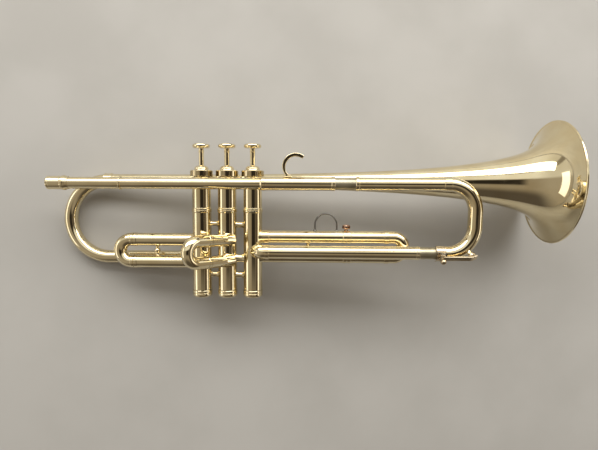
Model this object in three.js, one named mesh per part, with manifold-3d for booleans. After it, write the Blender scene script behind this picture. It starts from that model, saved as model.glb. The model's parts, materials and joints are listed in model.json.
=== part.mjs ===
// A lacquered brass B flat trumpet, lying on its left side with its tuning slide pulled out a little.
// Inside the instrument group, +X runs from the mouthpiece end to the bell, +Y runs up the valves to
// the finger buttons and +Z is the player's right-hand side. X and Z are 0 on the second valve's axis,
// and Y is 0 on the leadpipe's axis. Millimetres throughout.

import * as THREE from 'three';
import { mergeVertices } from 'three/addons/utils/BufferGeometryUtils.js';
import Module from 'manifold-3d';

// ---------------------------------------------------------------- driving dimensions

const GAP = 0.3; // clearance kept between separate pieces
const TUBE_SIDES = 12;
const CASING_SIDES = 16;
const PISTON_SIDES = 12;
const PORT_SIDES = 6;
const BELL_SIDES = 28;

// How the instrument lies: its bell end is tipped up and it rolls a little onto its lower bow.
const REST_TILT = THREE.MathUtils.degToRad(5.917);
const REST_ROLL = THREE.MathUtils.degToRad(4.561);
const REST_HEIGHT = 44.05;
const REST_SHIFT_X = -80.445;
const REST_SHIFT_Y = 23.459;

// Valves
const VALVE_PITCH = 25.2;
const CASING_RADIUS = 9.4;
const CASING_BORE = 8.75;
const CASING_TOP = 6.2;
const CASING_JOINT = -26;
const CASING_BOTTOM = -104.9;
const PISTON_RADIUS = 8.45;
const PISTON_TOP = -27;
const PISTON_BOTTOM = -87.8;
const BARREL_RADIUS = 7;
const BARREL_TOP = 2.6;
const STEM_RADIUS = 2.6;
const CAP_RADIUS = 11;
const TOP_CAP_TOP = 17.3;
const BUTTON_TOP = 38.3;
const BUTTON_THICKNESS = 4;
const BUTTON_RADIUS = 8.6;
const BOTTOM_CAP_BOTTOM = -112.2;

// Leadpipe and main tuning slide, on the right-hand side of the valves
const LEAD_Z = 15.9;
const RECEIVER_END = -168.7;
const RECEIVER_FRONT = -151;
const LEADPIPE_RING_X = -98.9;
const LEADPIPE_RADIUS = 5.65;
const LEADPIPE_BORE = 4.9;
const OUTER_RADIUS = 6.45;
const OUTER_BORE = 6.05;
const INNER_RADIUS = 5.8;
const INNER_BORE = 5.35;
const UPPER_OUTER_START = 36;
const LEADPIPE_OVERLAP = 8;
const UPPER_LEG_START = 63;
const LOWER_LEG_START = 118;
const UPPER_OUTER_END = 105;
const UPPER_SLEEVE_START = 124.4;
const LOWER_LEG_Y = -65.6;
const LOWER_LEG_Z = 13.5;
const LOWER_OUTER_START = 42;
const LOWER_OUTER_END = 185.9;
const LOWER_SLEEVE_START = 202;
const MAIN_BOW_START = 212;
const MAIN_BOW_END = 237.7;
const MAIN_BOW_RADIUS = 6.8;
const MAIN_BOW_BEND = 25.5;
const ELBOW_RADIUS = 6.7;
const ELBOW_BORE = 5.6;
const ELBOW_BEND = 8;
const ELBOW_STRAIGHT = 4;

// Water key: how far its pin stands out from the lower leg, and how far it is turned around it
const KEY_X = 205.5;
const KEY_RADIAL = 10.6;
const KEY_TURN = THREE.MathUtils.degToRad(75);
const KEY_HALF_WIDTH = 2.2;
const KEY_HUB_RADIUS = 2.1;
const PIN_RADIUS = 0.85;
const EAR_THICKNESS = 1.5;
const NIPPLE_ANGLE = THREE.MathUtils.degToRad(-51);
const NIPPLE_TURN = THREE.MathUtils.degToRad(43);
const NIPPLE_END = 9.4;
const CORK_END = 11.3;
const CORK_RADIUS = 2.7;
const CUP_START = 10.7;
const CUP_END = 13.4;
const CUP_RADIUS = 3.6;

// Bell, on the left-hand side of the valves
const BELL_Y = 2.9;
const BELL_Z = -16.8;
const BELL_RIM_X = 323.6;
const BELL_RADIUS = 61.5;
const BELL_BEAD_RADIUS = 1.3;
const BELL_WALL = 0.8;
const BELL_THROAT_RADIUS = 4.07;
const BELL_TAPER_RADIUS = 34.65;
const BELL_TAPER_LENGTH = 262.6;
const BELL_TAPER_POWER = 3.28;
const BELL_FLARE_RADIUS = 22.78;
const BELL_FLARE_LENGTH = 10.19;
const BELL_TUBE_RADIUS = 6.6;
const BELL_TUBE_BORE = 6.0;
const BELL_SEAM_DEPTH = 84;
const BOW_LEFT = -164.6;
const BOW_RADIUS = 39.2;
const TAIL_END = -48;
const TAIL_BEND = 8.8;

// Valve slides: Y of each upper and lower leg, and where the tubes meet along X
const VALVE_TUBE_RADIUS = 6.3;
const VALVE_TUBE_BORE = 5.9;
const VALVE_INNER_RADIUS = 5.6;
const VALVE_INNER_BORE = 5.15;
const FIRST_UPPER_Y = -55.5;
const FIRST_LOWER_Y = -77.5;
const FIRST_SEAM_X = -93;
const FIRST_BOW_LEFT = -107.2;
const FIRST_LEG_END = -52;
const FIRST_STRUT_X = -70;
const THIRD_UPPER_Y = -52.1;
const THIRD_LOWER_Y = -71.5;
const THIRD_SEAM_X = 117.9;
const THIRD_BOW_RIGHT = 173.6;
const THIRD_LEG_START = 62;
const SECOND_Y = -65.1;
const SECOND_SPACING = 20.2;
const SECOND_LEAN = THREE.MathUtils.degToRad(40);
const SECOND_RISE = THREE.MathUtils.degToRad(2.6);
const SECOND_BASE = new THREE.Vector3(1, SECOND_Y, 8);
const SECOND_SEAM = 22;
const SECOND_LENGTH = 46;
const SECOND_TUBE_RADIUS = 5.9;
const SECOND_TUBE_BORE = 5.5;
const SECOND_INNER_RADIUS = 5.2;
const SECOND_INNER_BORE = 4.75;

// Braces and holds
const REAR_BRACE_X = -92;
const FRONT_BRACE_X = 78;
const LYRE_X = 117.4;
const RING_X = 97.3;
const RING_Y = -39.8;
const RING_RADIUS = 10.7;
const RING_WIRE = 0.9;
const HOOK_X = 67.9;
const HOOK_Y = 15.9;
const HOOK_RADIUS = 11.2;
const HOOK_START = THREE.MathUtils.degToRad(231);
const HOOK_END = THREE.MathUtils.degToRad(50);
const HOOK_WIDTH = 8;

// ---------------------------------------------------------------- finishes

const lacqueredBrass = { color: 0xcfae62, roughness: 0.14, metalness: 1 };
const drawnBrass = { color: 0xb59a62, roughness: 0.45, metalness: 1 };
const nickelSilver = { color: 0x9c978c, roughness: 0.3, metalness: 1 };
const springSteel = { color: 0x5c5a57, roughness: 0.35, metalness: 1 };
const corkBrown = { color: 0x9a7448, roughness: 0.9, metalness: 0 };

// ---------------------------------------------------------------- solid tools

const wasm = await Module();
wasm.setup();

// Merges shared corners, drops triangles with no area and turns the faces outward.
function closed(source) {
  const stripped = source.clone();
  stripped.deleteAttribute('normal');
  stripped.deleteAttribute('uv');
  const merged = mergeVertices(stripped, 1e-4);
  const position = merged.getAttribute('position');
  const corner = (index) => new THREE.Vector3().fromBufferAttribute(position, index);
  const kept = [];
  let volume = 0;
  for (let i = 0; i < merged.index.count; i += 3) {
    const [a, b, c] = [0, 1, 2].map((k) => merged.index.getX(i + k));
    if (a === b || b === c || c === a) continue;
    kept.push(a, b, c);
    volume += corner(a).dot(corner(b).cross(corner(c)));
  }
  if (volume < 0) kept.reverse();
  merged.setIndex(kept);
  return merged;
}

function toManifold(source) {
  const geometry = closed(source);
  const vertProperties = new Float32Array(geometry.getAttribute('position').array);
  const triVerts = new Uint32Array(geometry.index.array);
  return new wasm.Manifold(new wasm.Mesh({ numProp: 3, vertProperties, triVerts }));
}

function fromManifold(manifold) {
  const mesh = manifold.getMesh();
  const geometry = new THREE.BufferGeometry();
  geometry.setAttribute('position', new THREE.BufferAttribute(mesh.vertProperties, 3));
  geometry.setIndex(new THREE.BufferAttribute(mesh.triVerts, 1));
  return geometry;
}

// Joins the first solid to the additions, then cuts the cutters away.
function combine(base, additions, cutters) {
  let result = toManifold(base);
  for (const addition of additions) result = result.add(toManifold(addition));
  for (const cutter of cutters) result = result.subtract(toManifold(cutter));
  return fromManifold(result);
}

// ---------------------------------------------------------------- shape tools

// Turns a profile of [along, radius] points about one axis. A profile that leaves the axis is closed.
function revolve(profile, axis, sides) {
  const points = profile.map(([along, radius]) => new THREE.Vector2(radius, along));
  const first = points[0];
  const last = points[points.length - 1];
  if (first.x > 0 || last.x > 0) points.push(first.clone());
  const geometry = new THREE.LatheGeometry(points, sides);
  if (axis === 'x') geometry.rotateZ(-Math.PI / 2);
  if (axis === 'z') geometry.rotateX(Math.PI / 2);
  return closed(geometry);
}

function pipe(start, end, radius, bore, sides = TUBE_SIDES) {
  return revolve([[start, bore], [start, radius], [end, radius], [end, bore]], 'x', sides);
}

// A round rod between two points.
function rod(from, to, radius, sides = 12) {
  const start = new THREE.Vector3(...from);
  const end = new THREE.Vector3(...to);
  const along = end.clone().sub(start);
  const geometry = new THREE.CylinderGeometry(radius, radius, along.length(), sides);
  const turn = new THREE.Quaternion().setFromUnitVectors(new THREE.Vector3(0, 1, 0), along.normalize());
  geometry.applyQuaternion(turn);
  geometry.translate(...start.add(end).multiplyScalar(0.5).toArray());
  return geometry;
}

// A ring of round wire that encircles one axis.
function wireRing(radius, wire, axis, sides, wireSides = 8) {
  const profile = [];
  for (let i = 0; i < wireSides; i += 1) {
    const angle = (i / wireSides) * 2 * Math.PI;
    profile.push([wire * Math.sin(angle), radius + wire * Math.cos(angle)]);
  }
  return revolve(profile, axis, sides);
}

// A bent route: straight runs between corner points, each corner rounded to one bend radius.
// It is sampled at its own stations, so the straight runs cost no extra triangles.
class BentRoute extends THREE.Curve {
  constructor(corners, bendRadius, stepsPerBend) {
    super();
    const points = corners.map((corner) => new THREE.Vector3(...corner));
    this.stations = [{ point: points[0], tangent: points[1].clone().sub(points[0]).normalize() }];
    for (let i = 1; i < points.length - 1; i += 1) {
      this.addBend(points[i - 1], points[i], points[i + 1], bendRadius, stepsPerBend);
    }
    const last = points[points.length - 1];
    const tangent = last.clone().sub(points[points.length - 2]).normalize();
    if (last.distanceTo(this.stations.at(-1).point) > 1e-3) this.stations.push({ point: last, tangent });
  }

  addBend(before, corner, after, bendRadius, steps) {
    const inward = corner.clone().sub(before).normalize();
    const outward = after.clone().sub(corner).normalize();
    const turn = inward.angleTo(outward);
    const cutBack = bendRadius * Math.tan(turn / 2);
    const start = corner.clone().addScaledVector(inward, -cutBack);
    const axis = inward.clone().cross(outward).normalize();
    const toCentre = axis.clone().cross(inward).multiplyScalar(bendRadius);
    const centre = start.clone().add(toCentre);
    const skipStart = start.distanceTo(this.stations.at(-1).point) < 1e-3;
    for (let i = skipStart ? 1 : 0; i <= steps; i += 1) {
      const angle = (turn * i) / steps;
      const point = toCentre.clone().negate().applyAxisAngle(axis, angle).add(centre);
      this.stations.push({ point, tangent: inward.clone().applyAxisAngle(axis, angle) });
    }
  }

  get steps() {
    return this.stations.length - 1;
  }

  getPoint(t) {
    return this.stations[Math.round(t * this.steps)].point.clone();
  }

  getPointAt(u) {
    return this.getPoint(u);
  }

  getTangentAt(u) {
    return this.stations[Math.round(u * this.steps)].tangent.clone();
  }
}

function sweep(section, route) {
  return closed(new THREE.ExtrudeGeometry(section, { steps: route.steps, extrudePath: route }));
}

function roundOutline(radius, sides) {
  return Array.from({ length: sides }, (_, i) => {
    const angle = (i / sides) * 2 * Math.PI;
    return new THREE.Vector2(radius * Math.cos(angle), radius * Math.sin(angle));
  });
}

function bentPipe(corners, bendRadius, stepsPerBend, radius, bore, sides = TUBE_SIDES) {
  const section = new THREE.Shape(roundOutline(radius, sides));
  if (bore > 0) section.holes.push(new THREE.Path(roundOutline(bore, sides)));
  return sweep(section, new BentRoute(corners, bendRadius, stepsPerBend));
}

// ---------------------------------------------------------------- scene helpers

const instrument = new THREE.Group();

function addPart(name, geometry, finish, position = [0, 0, 0]) {
  const mesh = new THREE.Mesh(closed(geometry), new THREE.MeshStandardMaterial(finish));
  mesh.name = name;
  mesh.position.set(...position);
  instrument.add(mesh);
  return mesh;
}

const valveX = (number) => (number - 2) * VALVE_PITCH;

// The space that a valve casing fills, with the clearance, for coping the tubes that meet it.
function casingSpace(number) {
  const radius = CASING_RADIUS + GAP;
  return rod([valveX(number), CASING_BOTTOM, 0], [valveX(number), CASING_TOP, 0], radius, 24);
}

// ---------------------------------------------------------------- valves

// Where air enters each casing: a point on the port's axis outside the wall, and its direction in.
const PORT_RADIUS = 4.8;
const casingPorts = {
  1: [
    { y: FIRST_UPPER_Y, toward: [-1, 0] },
    { y: FIRST_LOWER_Y, toward: [-1, 0] },
    { y: BELL_Y - 2 * BOW_RADIUS, toward: [0, -1] },
  ],
  2: [
    { y: SECOND_Y + SECOND_SPACING / 2, toward: [-Math.sin(SECOND_LEAN), Math.cos(SECOND_LEAN)] },
    { y: SECOND_Y - SECOND_SPACING / 2, toward: [-Math.sin(SECOND_LEAN), Math.cos(SECOND_LEAN)] },
  ],
  3: [
    { y: THIRD_UPPER_Y, toward: [1, 0] },
    { y: THIRD_LOWER_Y, toward: [1, 0] },
    { y: LOWER_LEG_Y, toward: [0, 1] },
  ],
};

function makeCasing(number) {
  const shell = revolve([
    [CASING_BOTTOM, CASING_BORE],
    [CASING_BOTTOM, CASING_RADIUS],
    [CASING_JOINT - 1.2, CASING_RADIUS],
    [CASING_JOINT - 0.7, CASING_RADIUS + 0.6],
    [CASING_JOINT + 0.7, CASING_RADIUS + 0.6],
    [CASING_JOINT + 1.2, CASING_RADIUS - 0.1],
    [CASING_TOP, CASING_RADIUS - 0.1],
    [CASING_TOP, CASING_BORE],
  ], 'y', CASING_SIDES);
  const ports = casingPorts[number].map(({ y, toward }) => {
    const reach = CASING_RADIUS + 3;
    return rod([0, y, 0], [toward[0] * reach, y, toward[1] * reach], PORT_RADIUS, PORT_SIDES);
  });
  addPart(`valve_casing_${number}`, combine(shell, [], ports), lacqueredBrass, [valveX(number), 0, 0]);
}

function makeTopCap(number) {
  const skirt = CASING_TOP + GAP;
  const cap = revolve([
    [skirt, CASING_BORE],
    [skirt, CAP_RADIUS - 0.4],
    [skirt + 0.8, CAP_RADIUS],
    [12.3, CAP_RADIUS],
    [13.3, CAP_RADIUS - 0.8],
    [13.5, 6.7],
    [15.9, 6.5],
    [TOP_CAP_TOP, 4.9],
    [TOP_CAP_TOP, STEM_RADIUS + 0.45],
    [12.2, STEM_RADIUS + 0.45],
    [12.2, CASING_BORE - 0.9],
  ], 'y', CASING_SIDES);
  addPart(`top_cap_${number}`, cap, lacqueredBrass, [valveX(number), 0, 0]);
}

function makeBottomCap(number) {
  const seat = CASING_BOTTOM - GAP;
  const cap = revolve([
    [seat, 7.9],
    [seat, 9.3],
    [seat - 0.8, 9.8],
    [BOTTOM_CAP_BOTTOM + 2.2, 9.8],
    [BOTTOM_CAP_BOTTOM + 0.7, 9.1],
    [BOTTOM_CAP_BOTTOM, 7.6],
    [BOTTOM_CAP_BOTTOM, 2],
    [BOTTOM_CAP_BOTTOM + 1.6, 2],
    [BOTTOM_CAP_BOTTOM + 1.6, 7.9],
  ], 'y', CASING_SIDES);
  addPart(`bottom_cap_${number}`, cap, lacqueredBrass, [valveX(number), 0, 0]);
}

// The piston is a thin shell, open below, with two slanting air passages across it and the
// narrower spring barrel above it.
function makePiston(number) {
  const wall = 0.9;
  const shell = revolve([
    [PISTON_BOTTOM, PISTON_RADIUS - wall],
    [PISTON_BOTTOM, PISTON_RADIUS],
    [PISTON_TOP, PISTON_RADIUS],
    [PISTON_TOP, BARREL_RADIUS],
    [BARREL_TOP, BARREL_RADIUS],
    [BARREL_TOP, 0],
    [BARREL_TOP - 1.5, 0],
    [BARREL_TOP - 1.5, BARREL_RADIUS - wall],
    [PISTON_TOP, BARREL_RADIUS - wall],
    [PISTON_TOP - 2, BARREL_RADIUS - wall],
    [PISTON_TOP - 2, PISTON_RADIUS - wall],
  ].reverse(), 'y', PISTON_SIDES);
  const passageRadius = 4.7;
  const heights = [-48, -68];
  const ends = heights.map((y, i) => {
    const angle = (i * Math.PI) / 2 + number * 0.4;
    const reach = PISTON_RADIUS + 4;
    const [dx, dz] = [Math.cos(angle) * reach, Math.sin(angle) * reach];
    return [[-dx, y - 2.4, -dz], [dx, y + 2.4, dz]];
  });
  const core = rod([0, PISTON_BOTTOM + 0.5, 0], [0, PISTON_TOP - 0.5, 0], PISTON_RADIUS - 0.4, PISTON_SIDES);
  const inside = toManifold(core);
  const walls = ends.map((pair) => {
    const wallTube = toManifold(rod(...pair, passageRadius + 0.8, PORT_SIDES));
    return fromManifold(wallTube.intersect(inside));
  });
  const bores = ends.map((pair) => rod(...pair, passageRadius, PORT_SIDES));
  const piston = combine(shell, walls, bores);
  addPart(`piston_${number}`, piston, nickelSilver, [valveX(number), 0, 0]);
}

function makeStem(number) {
  const stem = revolve([
    [BARREL_TOP + GAP, 0],
    [BARREL_TOP + GAP, 5.6],
    [11.6, 5.6],
    [11.6, STEM_RADIUS],
    [BUTTON_TOP - BUTTON_THICKNESS - GAP, STEM_RADIUS],
    [BUTTON_TOP - BUTTON_THICKNESS - GAP, 0],
  ], 'y', TUBE_SIDES);
  addPart(`valve_stem_${number}`, stem, lacqueredBrass, [valveX(number), 0, 0]);
}

function makeButton(number) {
  const base = BUTTON_TOP - BUTTON_THICKNESS;
  const button = revolve([
    [base, 0],
    [base, BUTTON_RADIUS - 2.1],
    [base + 0.6, BUTTON_RADIUS - 0.6],
    [base + 1.4, BUTTON_RADIUS],
    [BUTTON_TOP - 1, BUTTON_RADIUS],
    [BUTTON_TOP - 0.3, BUTTON_RADIUS - 0.5],
    [BUTTON_TOP, BUTTON_RADIUS - 1.2],
    [BUTTON_TOP - 0.1, BUTTON_RADIUS - 1.7],
    [BUTTON_TOP - 0.1, 0],
  ], 'y', CASING_SIDES);
  addPart(`finger_button_${number}`, button, lacqueredBrass, [valveX(number), 0, 0]);
}

// The spring stands inside the piston's barrel, from the fixed guide to the barrel's closed top.
function makeSpring(number) {
  const spring = revolve([
    [PISTON_TOP + 3, 3.6],
    [PISTON_TOP + 3, 4.6],
    [BARREL_TOP - 1.5 - GAP, 4.6],
    [BARREL_TOP - 1.5 - GAP, 3.6],
  ], 'y', 12);
  addPart(`valve_spring_${number}`, spring, springSteel, [valveX(number), 0, 0]);
}

for (const number of [1, 2, 3]) {
  makeCasing(number);
  makeTopCap(number);
  makeBottomCap(number);
  makePiston(number);
  makeStem(number);
  makeButton(number);
  makeSpring(number);
}

// Short tubes and struts that tie each casing to the next one.
const bridges = [
  { name: 'upper_bridge_12', left: 1, y: -39.3, radius: 2.4 },
  { name: 'lower_bridge_12', left: 1, y: -90, radius: 2.6 },
  { name: 'upper_bridge_23', left: 2, y: -40.4, radius: 3.1 },
  { name: 'air_bridge_23', left: 2, y: -73.6, radius: 4.1 },
  { name: 'lower_bridge_23', left: 2, y: -90.4, radius: 3 },
];
for (const { name, left, y, radius } of bridges) {
  const strut = rod([valveX(left) + 6, y, 0], [valveX(left + 1) - 6, y, 0], radius);
  addPart(name, combine(strut, [], [casingSpace(left), casingSpace(left + 1)]), lacqueredBrass);
}

// ---------------------------------------------------------------- leadpipe and main slide

const receiver = revolve([
  [RECEIVER_END, 5.1],
  [RECEIVER_END, 6.1],
  [RECEIVER_END + 0.6, 6.5],
  [RECEIVER_FRONT - 4, 6.5],
  [RECEIVER_FRONT - 2.4, 7],
  [RECEIVER_FRONT - 0.8, 7],
  [RECEIVER_FRONT + 3, 6.1],
  [RECEIVER_FRONT + 3, LEADPIPE_RADIUS + GAP],
  [RECEIVER_FRONT - 6, LEADPIPE_RADIUS + GAP],
  [RECEIVER_FRONT - 6, 4.7],
], 'x', TUBE_SIDES);
addPart('mouthpiece_receiver', receiver, lacqueredBrass, [0, 0, LEAD_Z]);

const leadpipeStart = RECEIVER_FRONT - 6 + GAP;
const leadpipeEnd = UPPER_OUTER_START + LEADPIPE_OVERLAP;
const leadpipe = pipe(leadpipeStart, leadpipeEnd, LEADPIPE_RADIUS, LEADPIPE_BORE);
addPart('leadpipe', leadpipe, lacqueredBrass, [0, 0, LEAD_Z]);

const leadpipeRing = revolve([
  [LEADPIPE_RING_X - 0.9, LEADPIPE_RADIUS + GAP],
  [LEADPIPE_RING_X - 0.9, LEADPIPE_RADIUS + 0.6],
  [LEADPIPE_RING_X, LEADPIPE_RADIUS + 0.9],
  [LEADPIPE_RING_X + 0.9, LEADPIPE_RADIUS + 0.6],
  [LEADPIPE_RING_X + 0.9, LEADPIPE_RADIUS + GAP],
], 'x', TUBE_SIDES);
addPart('leadpipe_ring', leadpipeRing, lacqueredBrass, [0, 0, LEAD_Z]);

// An outer slide tube with a thicker mouth ring at its open end.
function outerTube(start, end, radius, bore, openEnd) {
  const ring = 3;
  const lip = radius + 0.35;
  const profile = openEnd === 'high'
    ? [[start, bore], [start, radius], [end - ring, radius], [end - ring, lip], [end, lip], [end, bore]]
    : [[start, bore], [start, lip], [start + ring, lip], [start + ring, radius], [end, radius], [end, bore]];
  return revolve(profile, 'x', TUBE_SIDES);
}

const upperOuter = outerTube(UPPER_OUTER_START, UPPER_OUTER_END, OUTER_RADIUS, OUTER_BORE, 'high');
addPart('upper_outer_slide', upperOuter, lacqueredBrass, [0, 0, LEAD_Z]);

const lowerOuter = outerTube(LOWER_OUTER_START, LOWER_OUTER_END, OUTER_RADIUS, OUTER_BORE, 'high');
addPart('lower_outer_slide', lowerOuter, lacqueredBrass, [0, LOWER_LEG_Y, LOWER_LEG_Z]);

// The elbow leaves valve 3's right-hand wall and turns forward into the lower slide tube, clear of
// the third slide's lower tube.
const elbowEnd = LOWER_OUTER_START - GAP;
const elbowX = elbowEnd - ELBOW_STRAIGHT - ELBOW_BEND;
const slideElbow = bentPipe([
  [elbowX, LOWER_LEG_Y, LOWER_LEG_Z - ELBOW_BEND],
  [elbowX, LOWER_LEG_Y, LOWER_LEG_Z],
  [elbowEnd, LOWER_LEG_Y, LOWER_LEG_Z],
], ELBOW_BEND, 4, ELBOW_RADIUS, ELBOW_BORE);
const thirdTubeSpace = rod(
  [valveX(3), THIRD_LOWER_Y, 0],
  [elbowEnd + 10, THIRD_LOWER_Y, 0],
  VALVE_TUBE_RADIUS + 0.5,
  24,
);
addPart('lower_slide_elbow', combine(slideElbow, [], [casingSpace(3), thirdTubeSpace]), lacqueredBrass);

// The tuning slide's two straight legs slide inside the outer tubes.
const upperLeg = pipe(UPPER_LEG_START, UPPER_SLEEVE_START + 14, INNER_RADIUS, INNER_BORE);
addPart('tuning_slide_upper_leg', upperLeg, drawnBrass, [0, 0, LEAD_Z]);
const lowerLeg = pipe(LOWER_LEG_START, LOWER_SLEEVE_START - GAP, INNER_RADIUS, INNER_BORE);
addPart('tuning_slide_lower_leg', lowerLeg, drawnBrass, [0, LOWER_LEG_Y, LOWER_LEG_Z]);

const upperSleeve = revolve([
  [UPPER_SLEEVE_START, INNER_RADIUS + GAP],
  [UPPER_SLEEVE_START, OUTER_RADIUS + 0.35],
  [UPPER_SLEEVE_START + 3, OUTER_RADIUS + 0.35],
  [UPPER_SLEEVE_START + 3, OUTER_RADIUS],
  [MAIN_BOW_START - GAP, OUTER_RADIUS],
  [MAIN_BOW_START - GAP, INNER_RADIUS + GAP],
], 'x', TUBE_SIDES);
addPart('tuning_slide_sleeve', upperSleeve, lacqueredBrass, [0, 0, LEAD_Z]);

// The main bow drops from the upper sleeve to the lower leg, a little nearer the valves' plane.
const mainBowTube = bentPipe([
  [MAIN_BOW_START, 0, LEAD_Z],
  [MAIN_BOW_END, 0, LEAD_Z],
  [MAIN_BOW_END, LOWER_LEG_Y, LOWER_LEG_Z],
  [LOWER_SLEEVE_START, LOWER_LEG_Y, LOWER_LEG_Z],
], MAIN_BOW_BEND, 4, MAIN_BOW_RADIUS, INNER_RADIUS - 0.2);

// ---------------------------------------------------------------- water key, beside the main bow

// The key stands out from the lower leg along keyOut. Its nipple stands out along nippleOut.
const keyOut = new THREE.Vector3(0, -Math.cos(KEY_TURN), Math.sin(KEY_TURN));
const keyPivot = new THREE.Vector3(KEY_X, LOWER_LEG_Y, LOWER_LEG_Z).addScaledVector(keyOut, KEY_RADIAL);
const nippleOut = new THREE.Vector3(
  Math.cos(NIPPLE_ANGLE) * Math.cos(NIPPLE_TURN),
  Math.sin(NIPPLE_ANGLE) * Math.cos(NIPPLE_TURN),
  Math.sin(NIPPLE_TURN),
);
const nippleFoot = new THREE.Vector3(
  MAIN_BOW_END - MAIN_BOW_BEND * (1 - Math.cos(NIPPLE_ANGLE)),
  LOWER_LEG_Y + MAIN_BOW_BEND * (1 + Math.sin(NIPPLE_ANGLE)),
  LOWER_LEG_Z + 0.2,
);

// A point at a distance from the bow's centre line, out through the nipple.
const outFromBow = (distance) => nippleFoot.clone().addScaledVector(nippleOut, distance).toArray();

const mainBow = combine(
  mainBowTube,
  [rod(outFromBow(MAIN_BOW_RADIUS - 0.7), outFromBow(NIPPLE_END), 2.3, 8)],
  [rod(outFromBow(MAIN_BOW_RADIUS - 2.5), outFromBow(NIPPLE_END + 1), 1.1, 6)],
);
addPart('tuning_slide_bow', mainBow, lacqueredBrass);
const cork = rod(outFromBow(NIPPLE_END + GAP), outFromBow(CORK_END), CORK_RADIUS, 10);
addPart('water_key_cork', cork, corkBrown);

// The lever's own frame: 0 on the pin, +X towards the cup, +Y towards the leg, +Z along the pin.
const keyAlong = new THREE.Vector3(...outFromBow(CUP_END)).sub(keyPivot).normalize();
const keyHinge = nippleOut.clone().cross(keyAlong).normalize();
const keyInward = keyHinge.clone().cross(keyAlong);
const keyFrame = new THREE.Matrix4().makeBasis(keyAlong, keyInward, keyHinge).setPosition(keyPivot);
const toKeyFrame = keyFrame.clone().invert();
const cupPoint = (distance) => new THREE.Vector3(...outFromBow(distance)).applyMatrix4(toKeyFrame).toArray();

// A flat bar in the lever's frame between two points of its XY plane.
function bar(from, to, height, halfWidth) {
  const length = Math.hypot(to[0] - from[0], to[1] - from[1]);
  const geometry = new THREE.BoxGeometry(length, height, 2 * halfWidth);
  geometry.rotateZ(Math.atan2(to[1] - from[1], to[0] - from[0]));
  geometry.translate((from[0] + to[0]) / 2, (from[1] + to[1]) / 2, 0);
  return geometry;
}

const cupBack = cupPoint(CUP_END);
const keyLever = combine(
  rod([0, 0, -KEY_HALF_WIDTH], [0, 0, KEY_HALF_WIDTH], KEY_HUB_RADIUS, 12),
  [
    bar([0, -1], [cupBack[0], cupBack[1] - 0.2], 1.6, KEY_HALF_WIDTH),
    rod(cupPoint(CUP_START), cupPoint(CUP_END), CUP_RADIUS, 12),
    rod([-0.4, -1, 0], [-0.4, -5, 0], KEY_HUB_RADIUS, 10),
    new THREE.SphereGeometry(2.8, 8, 5).translate(-0.4, -5, 0),
  ],
  [
    rod([0, 0, -KEY_HALF_WIDTH - 1], [0, 0, KEY_HALF_WIDTH + 1], PIN_RADIUS + 0.25, 10),
    rod(cupPoint(NIPPLE_END - 3), cupPoint(CORK_END + GAP), CORK_RADIUS + GAP, 12),
  ],
);
addPart('water_key_lever', keyLever.applyMatrix4(keyFrame), nickelSilver);

// The saddle is an open strap around the tube with two ears that hold the pin.
const strapRadius = MAIN_BOW_RADIUS + 1.2;
const strap = combine(
  pipe(KEY_X - 4.5, KEY_X + 4.5, strapRadius, MAIN_BOW_RADIUS + 0.6),
  [],
  [new THREE.BoxGeometry(20, 30, 20).translate(KEY_X, 15 - 1.5, 0)],
);
strap.rotateX(-KEY_TURN).translate(0, LOWER_LEG_Y, LOWER_LEG_Z).applyMatrix4(toKeyFrame);
const earHeight = KEY_RADIAL - strapRadius + 3;
const ears = [-1, 1].map((side) => {
  const middle = side * (KEY_HALF_WIDTH + GAP + EAR_THICKNESS / 2);
  return new THREE.BoxGeometry(4.6, earHeight, EAR_THICKNESS).translate(0, earHeight / 2 - 1.8, middle);
});
const pinEnd = KEY_HALF_WIDTH + GAP + EAR_THICKNESS + 0.5;
const keyPin = rod([0, 0, -pinEnd], [0, 0, pinEnd], PIN_RADIUS, 10);
const legSpace = rod([KEY_X - 10, 0, 0], [KEY_X + 10, 0, 0], MAIN_BOW_RADIUS + GAP, 24);
legSpace.translate(0, LOWER_LEG_Y, LOWER_LEG_Z).applyMatrix4(toKeyFrame);
const saddle = combine(strap, [...ears, keyPin], [legSpace]);
addPart('water_key_saddle', saddle.applyMatrix4(keyFrame), nickelSilver);

// ---------------------------------------------------------------- bell

// The bell's outer radius at a depth behind its rim: a long taper with a fast flare added at the end.
function bellRadius(depth) {
  const taper = BELL_TAPER_RADIUS * (1 + depth / BELL_TAPER_LENGTH) ** -BELL_TAPER_POWER;
  const flare = BELL_FLARE_RADIUS * Math.exp(-depth / BELL_FLARE_LENGTH);
  return Math.max(BELL_THROAT_RADIUS + taper + flare, BELL_TUBE_RADIUS);
}

// A closed wall that follows the bell's outside, with its inside one wall thickness away.
function bellWall(depths) {
  const outside = depths.map((depth) => [BELL_RIM_X - depth, bellRadius(depth)]);
  const inside = depths.map((depth) => {
    const slope = (bellRadius(depth + 0.1) - bellRadius(depth - 0.1)) / 0.2;
    const steep = Math.hypot(1, slope);
    const x = BELL_RIM_X - depth - (slope * BELL_WALL) / steep;
    return [x, bellRadius(depth) - BELL_WALL / steep];
  });
  return [...outside, ...inside.reverse()];
}

const flareDepths = [1.5, 4, 8, 14, 23, 40, BELL_SEAM_DEPTH];
addPart('bell_flare', revolve(bellWall(flareDepths), 'x', BELL_SIDES), lacqueredBrass, [0, BELL_Y, BELL_Z]);

const beadRadius = BELL_RADIUS - BELL_BEAD_RADIUS;
const rimBead = wireRing(beadRadius, BELL_BEAD_RADIUS, 'x', BELL_SIDES, 6);
addPart('bell_rim', rimBead, lacqueredBrass, [BELL_RIM_X, BELL_Y, BELL_Z]);

const bowStart = BOW_LEFT + BOW_RADIUS;
const stemDepths = [BELL_SEAM_DEPTH + GAP, 120, 170, 230, 300, BELL_RIM_X - bowStart - GAP];
addPart('bell_stem', revolve(bellWall(stemDepths), 'x', 14), lacqueredBrass, [0, BELL_Y, BELL_Z]);

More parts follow.
